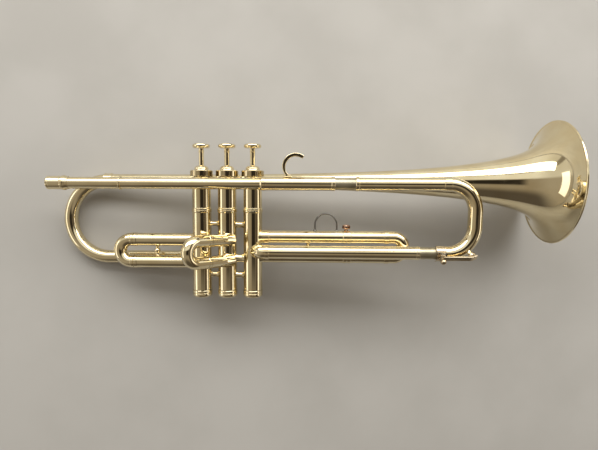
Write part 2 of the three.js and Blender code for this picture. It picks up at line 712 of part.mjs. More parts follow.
const bowFerrule = revolve([
  [bowStart - 3, BELL_TUBE_RADIUS + 0.55],
  [bowStart - 3, BELL_TUBE_RADIUS + 1.1],
  [bowStart + 5, BELL_TUBE_RADIUS + 1.1],
  [bowStart + 5, BELL_TUBE_RADIUS + 0.55],
], 'x', TUBE_SIDES);
addPart('bell_bow_ferrule', bowFerrule, lacqueredBrass, [0, BELL_Y, BELL_Z]);

const tailY = BELL_Y - 2 * BOW_RADIUS;
const rearBow = bentPipe([
  [bowStart, BELL_Y, BELL_Z],
  [BOW_LEFT, BELL_Y, BELL_Z],
  [BOW_LEFT, tailY, BELL_Z],
  [TAIL_END - GAP, tailY, BELL_Z],
], BOW_RADIUS, 6, BELL_TUBE_RADIUS, BELL_TUBE_BORE);
addPart('bell_bow', rearBow, lacqueredBrass);

// The tail elbow turns from the bow's lower leg into valve 1's left-hand wall.
const tailElbow = bentPipe([
  [TAIL_END, tailY, BELL_Z],
  [valveX(1), tailY, BELL_Z],
  [valveX(1), tailY, BELL_Z + TAIL_BEND + 3],
], TAIL_BEND, 4, ELBOW_RADIUS, ELBOW_BORE);
addPart('bell_tail_elbow', combine(tailElbow, [], [casingSpace(1)]), lacqueredBrass);

// ---------------------------------------------------------------- braces between leadpipe and bell

const braces = [
  { name: 'rear_brace', x: REAR_BRACE_X, leadRadius: LEADPIPE_RADIUS },
  { name: 'front_brace', x: FRONT_BRACE_X, leadRadius: OUTER_RADIUS },
];
for (const { name, x, leadRadius } of braces) {
  const bellOuter = bellRadius(BELL_RIM_X - x);
  const top = [x, 0.4, LEAD_Z - leadRadius - GAP];
  const bottom = [x, BELL_Y - 0.4, BELL_Z + bellOuter + GAP];
  const foot = (point, towards) => rod(point, [x, point[1], point[2] + towards], 4.4, 10);
  const knob = new THREE.SphereGeometry(2.7, 8, 5);
  knob.translate(x, (top[1] + bottom[1]) / 2, (top[2] + bottom[2]) / 2);
  const brace = combine(rod(top, bottom, 1.7, 8), [foot(top, -1), foot(bottom, 1), knob], []);
  addPart(name, brace, lacqueredBrass);
}

// ---------------------------------------------------------------- first valve slide, towards the player

const firstLegs = { upper: FIRST_UPPER_Y, lower: FIRST_LOWER_Y };
for (const [level, y] of Object.entries(firstLegs)) {
  const tube = outerTube(FIRST_SEAM_X + GAP, valveX(1) - 4, VALVE_TUBE_RADIUS, VALVE_TUBE_BORE, 'low');
  tube.translate(0, y, 0);
  addPart(`first_slide_${level}_tube`, combine(tube, [], [casingSpace(1)]), lacqueredBrass);
}
const firstBend = (FIRST_UPPER_Y - FIRST_LOWER_Y) / 2;
const firstBow = bentPipe([
  [FIRST_SEAM_X, FIRST_UPPER_Y, 0],
  [FIRST_BOW_LEFT, FIRST_UPPER_Y, 0],
  [FIRST_BOW_LEFT, FIRST_LOWER_Y, 0],
  [FIRST_SEAM_X, FIRST_LOWER_Y, 0],
], firstBend, 4, VALVE_TUBE_RADIUS, VALVE_INNER_BORE);
const firstInner = [FIRST_UPPER_Y, FIRST_LOWER_Y].map((y) => {
  return pipe(FIRST_SEAM_X - 0.5, FIRST_LEG_END, VALVE_INNER_RADIUS, VALVE_INNER_BORE).translate(0, y, 0);
});
addPart('first_slide_bow', combine(firstBow, firstInner, []), lacqueredBrass);
const strutBottom = [FIRST_STRUT_X, FIRST_LOWER_Y + VALVE_TUBE_RADIUS + GAP, 0];
const strutTop = [FIRST_STRUT_X, FIRST_UPPER_Y - VALVE_TUBE_RADIUS - GAP, 0];
const strutKnob = new THREE.SphereGeometry(3, 8, 5);
strutKnob.translate(FIRST_STRUT_X, (FIRST_UPPER_Y + FIRST_LOWER_Y) / 2, 0);
const firstStrut = combine(rod(strutBottom, strutTop, 1.6, 8), [strutKnob], []);
addPart('first_slide_strut', firstStrut, lacqueredBrass);

// ---------------------------------------------------------------- third valve slide, towards the bell

const thirdLegs = { upper: THIRD_UPPER_Y, lower: THIRD_LOWER_Y };
for (const [level, y] of Object.entries(thirdLegs)) {
  const tube = outerTube(valveX(3) + 4, THIRD_SEAM_X - GAP, VALVE_TUBE_RADIUS, VALVE_TUBE_BORE, 'high');
  tube.translate(0, y, 0);
  addPart(`third_slide_${level}_tube`, combine(tube, [], [casingSpace(3)]), lacqueredBrass);
}
const thirdBend = (THIRD_UPPER_Y - THIRD_LOWER_Y) / 2;
const thirdBow = bentPipe([
  [THIRD_SEAM_X, THIRD_UPPER_Y, 0],
  [THIRD_BOW_RIGHT, THIRD_UPPER_Y, 0],
  [THIRD_BOW_RIGHT, THIRD_LOWER_Y, 0],
  [THIRD_SEAM_X, THIRD_LOWER_Y, 0],
], thirdBend, 4, VALVE_TUBE_RADIUS, VALVE_INNER_BORE);
const thirdInner = [THIRD_UPPER_Y, THIRD_LOWER_Y].map((y) => {
  return pipe(THIRD_LEG_START, THIRD_SEAM_X + 0.5, VALVE_INNER_RADIUS, VALVE_INNER_BORE).translate(0, y, 0);
});
addPart('third_slide_bow', combine(thirdBow, thirdInner, []), lacqueredBrass);

// ---------------------------------------------------------------- second valve slide, out to the right

// The second slide's own frame: its local Z runs out along its legs, which rise a little.
const secondFrame = new THREE.Matrix4().makeRotationY(-SECOND_LEAN);
secondFrame.multiply(new THREE.Matrix4().makeRotationX(-SECOND_RISE)).setPosition(SECOND_BASE);
const secondHalf = SECOND_SPACING / 2;
const alongZ = (geometry) => geometry.rotateY(-Math.PI / 2);
const secondLegs = { upper: secondHalf, lower: -secondHalf };
for (const [level, y] of Object.entries(secondLegs)) {
  const tube = alongZ(pipe(-1, SECOND_SEAM - GAP, SECOND_TUBE_RADIUS, SECOND_TUBE_BORE));
  tube.translate(0, y, 0).applyMatrix4(secondFrame);
  addPart(`second_slide_${level}_tube`, combine(tube, [], [casingSpace(2)]), lacqueredBrass);
}
const secondBow = bentPipe([
  [0, secondHalf, SECOND_SEAM],
  [0, secondHalf, SECOND_LENGTH],
  [0, -secondHalf, SECOND_LENGTH],
  [0, -secondHalf, SECOND_SEAM],
], secondHalf, 4, SECOND_TUBE_RADIUS, SECOND_INNER_BORE);
const secondInner = [secondHalf, -secondHalf].map((y) => {
  return alongZ(pipe(6, SECOND_SEAM + 0.5, SECOND_INNER_RADIUS, SECOND_INNER_BORE)).translate(0, y, 0);
});
const secondSlide = combine(secondBow, secondInner, []).applyMatrix4(secondFrame);
addPart('second_slide_bow', secondSlide, lacqueredBrass);

// ---------------------------------------------------------------- finger ring, lyre screw and finger hook

// The finger loop is an arch of wire whose two feet stand on the third slide's upper tube.
const ringFootY = THIRD_UPPER_Y + VALVE_TUBE_RADIUS + GAP;
const fingerRing = bentPipe([
  [RING_X - RING_RADIUS, ringFootY, 0],
  [RING_X - RING_RADIUS, RING_Y + RING_RADIUS, 0],
  [RING_X + RING_RADIUS, RING_Y + RING_RADIUS, 0],
  [RING_X + RING_RADIUS, ringFootY, 0],
], RING_RADIUS, 5, RING_WIRE, 0, 6);
addPart('finger_ring', fingerRing, springSteel);

const lyreFootY = THIRD_UPPER_Y + VALVE_TUBE_RADIUS + 0.35 + GAP;
const lyreScrew = revolve([
  [lyreFootY, 0],
  [lyreFootY, 2],
  [lyreFootY + 1.4, 1.5],
  [lyreFootY + 2.2, 3.6],
  [lyreFootY + 4.8, 4],
  [lyreFootY + 6, 3],
  [lyreFootY + 6.2, 0],
], 'y', 12);
addPart('lyre_screw', lyreScrew, lacqueredBrass, [LYRE_X, 0, 0]);

// The little-finger hook: a half circle of thick strip that rises from its foot on the upper outer
// tube and curls over towards the bell. It is thinner at its foot.
const hookSteps = 12;
const hookOuter = [];
const hookInner = [];
for (let i = 0; i <= hookSteps; i += 1) {
  const turn = i / hookSteps;
  const angle = HOOK_START + (HOOK_END - HOOK_START) * turn;
  const halfThickness = 1.1 + 0.5 * Math.min(1, 2 * turn);
  const at = (radius) => new THREE.Vector2(
    HOOK_X + radius * Math.cos(angle),
    HOOK_Y + radius * Math.sin(angle),
  );
  hookOuter.push(at(HOOK_RADIUS + halfThickness));
  hookInner.push(at(HOOK_RADIUS - halfThickness));
}
const hookShape = new THREE.Shape([...hookOuter, ...hookInner.reverse()]);
const hookStrip = new THREE.ExtrudeGeometry(hookShape, { depth: HOOK_WIDTH, bevelEnabled: false });
hookStrip.translate(0, 0, LEAD_Z - HOOK_WIDTH / 2);
const hookFootY = OUTER_RADIUS + GAP;
const hookFoot = new THREE.BoxGeometry(7, 1.4, HOOK_WIDTH - 1);
hookFoot.translate(HOOK_X - 7, hookFootY + 0.7, LEAD_Z);
const tubeSpace = new THREE.BoxGeometry(40, 10, 20).translate(HOOK_X, hookFootY - 5, LEAD_Z);
addPart('pinky_hook', combine(hookStrip, [hookFoot], [tubeSpace]), lacqueredBrass);

// ---------------------------------------------------------------- assembly frame

const trumpet = new THREE.Group();
instrument.rotation.set(REST_ROLL, -REST_TILT, 0, 'YXZ');
instrument.position.set(REST_SHIFT_X, REST_SHIFT_Y, REST_HEIGHT);
trumpet.add(instrument);
export default trumpet;
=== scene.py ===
import json
import logging
import math
from collections.abc import Sequence
from dataclasses import dataclass, field
from enum import Enum

import bmesh
import bpy
from bmesh.types import BMEdge, BMesh, BMFace, BMVert
from mathutils import Matrix, Vector


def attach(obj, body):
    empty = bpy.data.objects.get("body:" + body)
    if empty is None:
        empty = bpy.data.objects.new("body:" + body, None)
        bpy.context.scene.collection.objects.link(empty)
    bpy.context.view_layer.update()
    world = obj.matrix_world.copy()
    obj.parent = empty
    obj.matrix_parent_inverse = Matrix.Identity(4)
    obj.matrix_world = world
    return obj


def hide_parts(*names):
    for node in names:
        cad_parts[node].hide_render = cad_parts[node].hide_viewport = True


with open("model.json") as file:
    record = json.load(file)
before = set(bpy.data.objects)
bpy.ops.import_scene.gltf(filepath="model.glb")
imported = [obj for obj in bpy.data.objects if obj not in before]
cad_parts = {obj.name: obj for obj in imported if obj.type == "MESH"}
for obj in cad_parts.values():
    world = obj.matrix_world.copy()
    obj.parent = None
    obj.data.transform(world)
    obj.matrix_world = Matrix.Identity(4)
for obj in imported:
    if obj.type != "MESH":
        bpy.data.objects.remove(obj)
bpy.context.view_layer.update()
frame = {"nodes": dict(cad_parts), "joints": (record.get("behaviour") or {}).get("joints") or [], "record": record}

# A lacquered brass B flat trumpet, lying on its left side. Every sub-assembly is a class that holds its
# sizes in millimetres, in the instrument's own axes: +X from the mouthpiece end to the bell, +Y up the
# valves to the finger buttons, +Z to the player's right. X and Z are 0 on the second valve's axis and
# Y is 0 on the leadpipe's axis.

MM = 0.001
FULL_TURN = 2 * math.pi
QUARTER_TURN = math.pi / 2
TUBE_SIDES = 48
CASING_SIDES = 72
KNURL_SIDES = 72
BEND_STEPS = 22
SHARP_ANGLE = math.radians(38)
SOLDER = 0.1
GAP = 0.3

Profile = Sequence[tuple[float, float]]
Point = tuple[float, float, float]
Colour = tuple[float, float, float]
Span = tuple[float, float]
Socket = bpy.types.NodeSocket
Geometry = list[BMVert | BMEdge | BMFace]

log = logging.getLogger("trumpet")


class Slot(Enum):
    """The record's material slots."""

    LACQUERED_BRASS = "lacquered_brass"
    DRAWN_BRASS = "drawn_brass"
    NICKEL_SILVER = "nickel_silver"
    SPRING_STEEL = "spring_steel"
    CORK = "cork"
    PEARL = "pearl"


class Body(Enum):
    """The moving bodies that pieces ride on."""

    TRUMPET = "trumpet_body"
    VALVE_1 = "valve_1"
    VALVE_2 = "valve_2"
    VALVE_3 = "valve_3"
    TUNING_SLIDE = "tuning_slide"
    WATER_KEY = "water_key"
    FIRST_SLIDE = "first_slide"
    SECOND_SLIDE = "second_slide"
    THIRD_SLIDE = "third_slide"


class Axis(Enum):
    """The instrument axis that a turned piece is centred on."""

    ALONG = Matrix.Identity(4)
    UP = Matrix.Rotation(QUARTER_TURN, 4, "Z")
    SIDE = Matrix.Rotation(-QUARTER_TURN, 4, "Y")


# ---------------------------------------------------------------- finishes


class NodeBoard:
    """A material's node tree, with short ways to add and join nodes."""

    def __init__(self, name: str) -> None:
        """Starts a material with a Principled shader.

        Args:
            name: the material's name.
        """
        self.material = bpy.data.materials.new(name)
        self.material.use_nodes = True
        self.tree = self.material.node_tree
        self.shader = self.tree.nodes["Principled BSDF"]

    def add(self, kind: str, settings: dict[str, object] | None = None, **inputs: object) -> bpy.types.Node:
        """Adds a node.

        Args:
            kind: the node's type, without its ShaderNode prefix.
            settings: the node's own properties.
            inputs: socket values, or sockets to join, with spaces in names written as underscores.

        Returns:
            The new node.
        """
        node = self.tree.nodes.new("ShaderNode" + kind)
        for key, value in (settings or {}).items():
            setattr(node, key, value)
        for key, value in inputs.items():
            self.put(node.inputs[key.replace("_", " ")], value)
        return node

    def put(self, socket: Socket, value: object) -> None:
        """Joins a socket to another one, or sets its value.

        Args:
            socket: the input.
            value: an output socket, or a plain value.
        """
        if isinstance(value, Socket):
            self.tree.links.new(value, socket)
        else:
            socket.default_value = value

    def turned_coordinates(self, stretch: Point = (1, 1, 1)) -> Socket:
        """Object coordinates in the instrument's axes, in metres.

        Args:
            stretch: how much finer the pattern is along each instrument axis.

        Returns:
            The vector output.
        """
        place = self.add("TexCoord").outputs["Object"]
        turn = TrumpetAxes.shared().turn.inverted().to_euler()
        turned = self.add("Mapping", Vector=place, Rotation=turn)
        return self.add("Mapping", Vector=turned.outputs["Vector"], Scale=stretch).outputs["Vector"]

    def noise(self, scale: float, detail: float = 3, stretch: Point = (1, 1, 1)) -> Socket:
        """Smooth noise from 0 to 1.

        Args:
            scale: how many cells there are in a metre.
            detail: the number of finer octaves.
            stretch: as in turned_coordinates.

        Returns:
            The value output.
        """
        place = self.turned_coordinates(stretch)
        return self.add("TexNoise", Vector=place, Scale=scale, Detail=detail).outputs["Fac"]

    def between(self, value: Socket, span: Span, to: Span) -> Socket:
        """Maps one range of a value smoothly to another.

        Args:
            value: the input value.
            span: its lowest and highest value.
            to: what those become.

        Returns:
            The mapped value.
        """
        node = self.add(
            "MapRange",
            {"interpolation_type": "SMOOTHSTEP"},
            Value=value,
            From_Min=span[0],
            From_Max=span[1],
            To_Min=to[0],
            To_Max=to[1],
        )
        return node.outputs["Result"]

    def blend(self, share: Socket, first: object, second: object) -> Socket:
        """Mixes two colours.

        Args:
            share: how much of the second colour there is.
            first: a colour or a colour output.
            second: a colour or a colour output.

        Returns:
            The mixed colour.
        """
        node = self.add("Mix", {"data_type": "RGBA"})
        for socket, value in zip((node.inputs[0], node.inputs[6], node.inputs[7]), (share, first, second)):
            self.put(socket, value if isinstance(value, Socket) else (*value, 1.0))
        return node.outputs[2]

    def math(self, operation: str, first: object, second: object) -> Socket:
        """Works out a sum of two values, such as ADD or MULTIPLY."""
        node = self.add("Math", {"operation": operation})
        for socket, value in zip(node.inputs, (first, second)):
            self.put(socket, value)
        return node.outputs[0]

    def multiply(self, first: object, second: object) -> Socket:
        """Multiplies two values."""
        return self.math("MULTIPLY", first, second)

    def add_up(self, first: object, second: object) -> Socket:
        """Adds two values."""
        return self.math("ADD", first, second)

    def bump(self, height: Socket, strength: float, depth: float, under: Socket | None = None) -> Socket:
        """Raises the surface by a height pattern.

        Args:
            height: the pattern, from 0 to 1.
            strength: the share of the effect.
            depth: the pattern's full height in metres.
            under: another bump's output that this one lies on.

        Returns:
            The bent normal.
        """
        node = self.add("Bump", Height=height, Strength=strength, Distance=depth)
        if under is not None:
            self.put(node.inputs["Normal"], under)
        return node.outputs["Normal"]


class WorldBoard(NodeBoard):
    """The world's node tree, with the same short ways."""

    def __init__(self, name: str) -> None:
        """Starts a world.

        Args:
            name: the world's name.
        """
        self.world = bpy.data.worlds.new(name)
        self.world.use_nodes = True
        self.tree = self.world.node_tree


@dataclass(frozen=True)
class Finish:
    """What every finish has: a name and the slot it stands for."""

    name: str
    slot: Slot

    def material(self) -> bpy.types.Material:
        """The finish's material, made the first time that it is asked for."""
        made = bpy.data.materials.get(self.name)
        return made or self.make(NodeBoard(self.name))

    def make(self, board: NodeBoard) -> bpy.types.Material:
        """Builds the finish's nodes.

        Args:
            board: an empty material.

        Returns:
            The finished material.
        """
        raise NotImplementedError


@dataclass(frozen=True)
class MetalFinish(Finish):
    """A metal with tone patches, fine drawing lines, handling marks and a slightly uneven surface."""

    bright: Colour
    deep: Colour
    gloss: tuple[float, float]
    patch_size: float = 24.0
    mark_strength: float = 0.25
    line_strength: float = 0.1
    wobble: float = 0.07
    lacquer: float = 0.0

    def make(self, board: NodeBoard) -> bpy.types.Material:
        """Builds the metal's nodes.

        Args:
            board: an empty material.

        Returns:
            The finished material.
        """
        patches = board.noise(1 / (self.patch_size * MM), 4)
        tone = board.blend(board.between(patches, (0.3, 0.72), (0, 1)), self.bright, self.deep)
        specks = board.between(board.noise(620, 2), (0.66, 0.74), (0, 0.35))
        board.put(board.shader.inputs["Base Color"], board.blend(specks, tone, self.deep))
        smears = board.between(board.noise(75, 3), (0.45, 0.7), (0, 0.5))
        lines = board.noise(2400, 2, (0.05, 1, 1))
        marks = board.noise(1500, 3)
        worn = board.add_up(smears, board.multiply(marks, 0.5))
        board.put(board.shader.inputs["Roughness"], board.between(worn, (0.1, 0.9), self.gloss))
        uneven = board.bump(board.noise(55, 1), self.wobble, 0.6 * MM)
        drawn = board.bump(lines, self.line_strength, 0.02 * MM, uneven)
        marked = board.bump(marks, self.mark_strength, 0.01 * MM, drawn)
        board.put(board.shader.inputs["Normal"], marked)
        board.put(board.shader.inputs["Metallic"], 1.0)
        board.put(board.shader.inputs["Coat Weight"], self.lacquer)
        board.put(board.shader.inputs["Coat Roughness"], 0.04)
        return board.material


@dataclass(frozen=True)
class CorkFinish(Finish):
    """Pressed cork: light and dark grains with small pits."""

    light: Colour = (0.50, 0.32, 0.17)
    dark: Colour = (0.20, 0.11, 0.05)

    def make(self, board: NodeBoard) -> bpy.types.Material:
        """Builds the cork's nodes.

        Args:
            board: an empty material.

        Returns:
            The finished material.
        """
        place = board.turned_coordinates()
        grains = board.add("TexVoronoi", Vector=place, Scale=1400.0).outputs["Distance"]
        tone = board.blend(board.between(grains, (0.1, 0.7), (0, 1)), self.light, self.dark)
        board.put(board.shader.inputs["Base Color"], tone)
        board.put(board.shader.inputs["Roughness"], board.between(grains, (0, 1), (0.75, 0.95)))
        board.put(board.shader.inputs["Normal"], board.bump(grains, 0.5, 0.1 * MM))
        return board.material


@dataclass(frozen=True)
class PearlFinish(Finish):
    """Mother of pearl: pale clouded layers under a polish."""

    milk: Colour = (0.78, 0.76, 0.70)
    rose: Colour = (0.62, 0.56, 0.55)
    green: Colour = (0.55, 0.62, 0.57)

    def make(self, board: NodeBoard) -> bpy.types.Material:
        """Builds the pearl's nodes.

        Args:
            board: an empty material.

        Returns:
            The finished material.
        """
        clouds = board.between(board.noise(320, 4, (1, 1, 0.4)), (0.35, 0.65), (0, 1))
        veins = board.between(board.noise(700, 5, (0.4, 1, 1)), (0.4, 0.6), (0, 0.7))
        tone = board.blend(veins, board.blend(clouds, self.milk, self.rose), self.green)
        board.put(board.shader.inputs["Base Color"], tone)
        board.put(board.shader.inputs["Roughness"], board.between(clouds, (0, 1), (0.12, 0.24)))
        board.put(board.shader.inputs["Normal"], board.bump(clouds, 0.1, 0.05 * MM))
        board.put(board.shader.inputs["Coat Weight"], 0.6)
        return board.material


@dataclass(frozen=True)
class FloorFinish(Finish):
    """A pale, matt studio floor with a very faint mottle."""

    pale: Colour = (0.46, 0.445, 0.42)
    shade: Colour = (0.42, 0.405, 0.38)

    def make(self, board: NodeBoard) -> bpy.types.Material:
        """Builds the floor's nodes.

        Args:
            board: an empty material.

        Returns:
            The finished material.
        """
        mottle = board.between(board.noise(9, 4), (0.3, 0.7), (0, 1))
        board.put(board.shader.inputs["Base Color"], board.blend(mottle, self.pale, self.shade))
        board.put(board.shader.inputs["Roughness"], board.between(mottle, (0, 1), (0.72, 0.82)))
        board.put(board.shader.inputs["Normal"], board.bump(board.noise(900, 2), 0.15, 0.2 * MM))
        return board.material


LACQUER = MetalFinish(
    "lacquered_brass_finish", Slot.LACQUERED_BRASS, (0.87, 0.765, 0.52), (0.79, 0.665, 0.41), (0.04, 0.13),
    lacquer=0.25,
)
RAW_BRASS = MetalFinish(
    "drawn_brass_finish", Slot.DRAWN_BRASS, (0.50, 0.45, 0.32), (0.34, 0.30, 0.21), (0.36, 0.56),
    mark_strength=0.5, line_strength=0.6, wobble=0.1,
)
NICKEL = MetalFinish(
    "nickel_silver_finish", Slot.NICKEL_SILVER, (0.70, 0.67, 0.60), (0.52, 0.48, 0.41), (0.10, 0.24),
)
STEEL = MetalFinish(
    "spring_steel_finish", Slot.SPRING_STEEL, (0.34, 0.33, 0.31), (0.22, 0.21, 0.20), (0.16, 0.3),
)
BRONZE = MetalFinish(
    "bronze_finish", Slot.LACQUERED_BRASS, (0.70, 0.49, 0.36), (0.52, 0.34, 0.24), (0.12, 0.26),
)
KEY_BRASS = MetalFinish(
    "key_finish", Slot.NICKEL_SILVER, (0.76, 0.66, 0.47), (0.52, 0.42, 0.29), (0.10, 0.24),
)
CORK = CorkFinish("cork_finish", Slot.CORK)
PEARL = PearlFinish("pearl_finish", Slot.PEARL)


# ---------------------------------------------------------------- the trumpet's axes


@dataclass(frozen=True)
class TrumpetAxes:
    """The instrument's own axes in the row frame: a turn, and the point where they meet."""

    turn: Matrix
    origin: Vector
    button_height: float = 38.2

    @classmethod
    def shared(cls) -> "TrumpetAxes":
        """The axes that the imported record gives, through two joints and the middle button's mount."""
        joints = {joint["name"]: joint for joint in frame["joints"]}
        mounts = {mount["name"]: mount for mount in frame["record"]["mounts"]}
        along = Vector(joints["tuning_slide_pull"]["axis"]).normalized()
        up = -Vector(joints["valve_2_press"]["axis"]).normalized()
        turn = Matrix((along, up, along.cross(up))).transposed()
        button = Vector(mounts["button_top_2"]["pos_m"])
        return cls(turn, button - up * cls.button_height * MM)

    @property
    def to_world(self) -> Matrix:
        """Takes a point in instrument millimetres to the row frame in metres."""
        return Matrix.Translation(self.origin) @ self.turn.to_4x4() @ Matrix.Scale(MM, 4)


# ---------------------------------------------------------------- shaping tools


def is_sharp(edge: BMEdge) -> bool:
    """Whether two faces meet at an edge at more than the sharp angle."""
    return edge.is_manifold and edge.calc_face_angle(0) > SHARP_ANGLE


def ease(work: BMesh, geom: Geometry, amount: float, segments: int = 4, affect: str = "EDGES") -> None:
    """Rounds edges or corners.

    Args:
        work: the solid.
        geom: its edges or vertices that are rounded.
        amount: the rounding's size.
        segments: how many steps it has.
        affect: EDGES or VERTICES.
    """
    bmesh.ops.bevel(
        work, geom=geom, offset=amount, offset_type="OFFSET", segments=segments, profile=0.5, affect=affect,
        clamp_overlap=True, material=-1,
    )


def full_spin(work: BMesh, sides: int) -> None:
    """Spins an outline all the way round X.

    Args:
        work: the outline.
        sides: the number of steps.
    """
    bmesh.ops.spin(
        work, geom=work.verts[:] + work.edges[:], cent=(0, 0, 0), axis=(1, 0, 0), dvec=(0, 0, 0),
        angle=FULL_TURN, steps=sides, use_merge=True, use_duplicate=False,
    )


def turned(profile: Profile, rounding: float = 0.0, sides: int = TUBE_SIDES) -> BMesh:
    """Turns a profile about X into a closed solid.

    Args:
        profile: corners as (place along X, radius). It is closed unless both ends are on the axis.
        rounding: how far each corner is rounded.
        sides: the number of steps round the axis.

    Returns:
        The solid.
    """
    work = bmesh.new()
    corners = [work.verts.new((along, radius, 0)) for along, radius in profile]
    for first, second in zip(corners, corners[1:]):
        work.edges.new((first, second))
    if profile[0][1] > 0 or profile[-1][1] > 0:
        work.edges.new((corners[-1], corners[0]))
    if rounding > 0:
        off_axis = [corner for corner in corners if len(corner.link_edges) == 2]
        ease(work, off_axis, rounding, affect="VERTICES")
    full_spin(work, sides)
    bmesh.ops.remove_doubles(work, verts=work.verts[:], dist=1e-4)
    bmesh.ops.recalc_face_normals(work, faces=work.faces[:])
    return work


def place(work: BMesh, at: Point = (0, 0, 0), axis: Axis = Axis.ALONG) -> BMesh:
    """Moves a solid that was turned about X onto another axis line.

    Args:
        work: the solid.
        at: where its own zero point goes.
        axis: the axis that it is centred on.

    Returns:
        The same solid.
    """
    work.transform(Matrix.Translation(at) @ axis.value)
    return work


def join(*parts: BMesh) -> BMesh:
    """Puts several solids into the first one.

    Args:
        parts: the solids; all but the first are used up.

    Returns:
        The first solid.
    """
    whole = parts[0]
    for part in parts[1:]:
        carrier = bpy.data.meshes.new("carrier")
        part.to_mesh(carrier)
        part.free()
        whole.from_mesh(carrier)
        bpy.data.meshes.remove(carrier)
    return whole


def knurl(work: BMesh, radius: float, span: Span, depth: float = 0.3) -> None:
    """Cuts grip grooves across a turned band, before it is moved off X.

    Args:
        work: the solid, with an even number of sides.
        radius: the band's radius.
        span: where the band starts and ends along X.
        depth: how deep the grooves are.
    """
    band = []
    for face in work.faces:
        middle = face.calc_center_median()
        across = Vector((0, middle.y, middle.z))
        if across.length > radius - 0.12 and span[0] < middle.x < span[1] and abs(face.normal.x) < 0.1:
            band.append((math.atan2(middle.z, middle.y), face))
    band.sort(key=lambda item: item[0])
    grooves = [face for index, (_, face) in enumerate(band) if index % 2]
    bmesh.ops.inset_individual(work, faces=grooves, thickness=0.06, depth=-depth, use_even_offset=True)


class Run:
    """A cross-section that is drawn step by step along straights and bends."""

    rounding_steps = 4

    def __init__(self, start: Point, heading: Point) -> None:
        """Starts a run.

        Args:
            start: the middle of the first cross-section.
            heading: the direction that the run sets off in.
        """
        self.work = bmesh.new()
        self.tip = Vector(start)
        self.heading = Vector(heading).normalized()
        self.end: list[BMFace] = []

    def end_verts(self) -> list[BMVert]:
        """The end cross-section's vertices."""
        return list({vert for face in self.end for vert in face.verts})

    def _region(self) -> Geometry:
        """The end cross-section's vertices, edges and faces."""
        verts = {vert for face in self.end for vert in face.verts}
        edges = {edge for face in self.end for edge in face.edges}
        return [*verts, *edges, *self.end]

    def _extrude(self, length: float) -> list[BMVert]:
        """Draws the end straight on by a length, and gives back its new vertices."""
        made = bmesh.ops.extrude_face_region(self.work, geom=self._region())["geom"]
        self.end = [item for item in made if isinstance(item, BMFace)]
        moved = [item for item in made if isinstance(item, BMVert)]
        step = self.heading * length
        bmesh.ops.translate(self.work, verts=moved, vec=step)
        self.tip += step
        return moved

    def _swing(self, centre: Vector, axis: Vector, angle: float, steps: int) -> None:
        """Draws the end round a centre.

        Args:
            centre: the bend's centre.
            axis: the direction that it turns about.
            angle: how far it turns.
            steps: the number of steps in the bend.
        """
        made = bmesh.ops.spin(
            self.work, geom=self._region(), cent=centre, axis=axis, dvec=(0, 0, 0), angle=angle, steps=steps,
            use_merge=False, use_duplicate=False,
        )["geom_last"]
        self.end = [item for item in made if isinstance(item, BMFace)]
        turn = Matrix.Rotation(angle, 3, axis)
        self.tip = centre + turn @ (self.tip - centre)
        self.heading = (turn @ self.heading).normalized()

    def rounded(self, amount: float) -> BMesh:
        """Rounds the sharp edges and closes the work.

        Args:
            amount: the rounding's size.

        Returns:
            The finished solid.
        """
        bmesh.ops.recalc_face_normals(self.work, faces=self.work.faces[:])
        ease(self.work, [edge for edge in self.work.edges if is_sharp(edge)], amount, self.rounding_steps)
        return self.work


class TubeRun(Run):
    """A round tube or bar."""

    rounding_steps = 3

    def __init__(
        self, start: Point, heading: Point, radius: float, bore: float = 0.0, sides: int = TUBE_SIDES,
    ) -> None:
        """Lays down the first cross-section.

        Args:
            start: the middle of the first cross-section.
            heading: the direction that the tube sets off in.
            radius: the outer radius.
            bore: the inner radius, or 0 for a solid bar.
            sides: the number of sides.
        """
        super().__init__(start, heading)
        self.radius = radius
        if bore > 0:
            for ring in (radius, bore):
                bmesh.ops.create_circle(self.work, cap_ends=False, segments=sides, radius=ring)
            bmesh.ops.bridge_loops(self.work, edges=self.work.edges[:])
        else:
            bmesh.ops.create_circle(self.work, cap_ends=True, cap_tris=False, segments=sides, radius=radius)
        turn = self.heading.to_track_quat("Z", "Y").to_matrix().to_4x4()
        self.work.transform(Matrix.Translation(self.tip) @ turn)
        self.first = self.work.verts[:]
        self.end = self.work.faces[:]

    def straight(self, length: float, new_radius: float | None = None) -> "TubeRun":
        """Goes straight on.

        Args:
            length: how far.
            new_radius: the outer radius at the far end, if it changes.

        Returns:
            This run.
        """
        moved = self._extrude(length)
        if new_radius is not None:
            outer = [vert for vert in moved if (vert.co - self.tip).length > self.radius - 0.05]
            share = new_radius / self.radius
            for vert in outer:
                vert.co = self.tip + (vert.co - self.tip) * share
            self.radius = new_radius
        return self

    def bend(
        self, bend_radius: float, towards: Point, angle: float = QUARTER_TURN, steps: int = BEND_STEPS,
    ) -> "TubeRun":
        """Turns towards a direction.

        Args:
            bend_radius: the radius of the middle line.
            towards: a direction square to the heading, on the inside of the bend.
            angle: how far it turns.
            steps: the number of steps in the bend.

        Returns:
            This run.
        """
        inward = Vector(towards).normalized()
        axis = self.heading.cross(inward).normalized()
        self._swing(self.tip + inward * bend_radius, axis, angle, steps)
        return self

    def cope(self, verts: Sequence[BMVert], heading: Vector, casing_x: float, radius: float) -> "TubeRun":
        """Slides end vertices along a direction until they lie on a valve casing's round wall.

        Args:
            verts: the end's vertices.
            heading: the direction out of the tube's end.
            casing_x: where the casing's axis is along X.
            radius: the casing's outer radius, less the solder.

        Returns:
            This run.
        """
        way = Vector((heading.x, heading.z)).normalized()
        for vert in verts:
            offset = Vector((vert.co.x - casing_x, vert.co.z))
            along = offset.dot(way)
            side = max(radius**2 - (offset - way * along).length_squared, 0.0)
            reach = -along - math.sqrt(side)
            vert.co += Vector((way.x, 0, way.y)) * reach
        return self


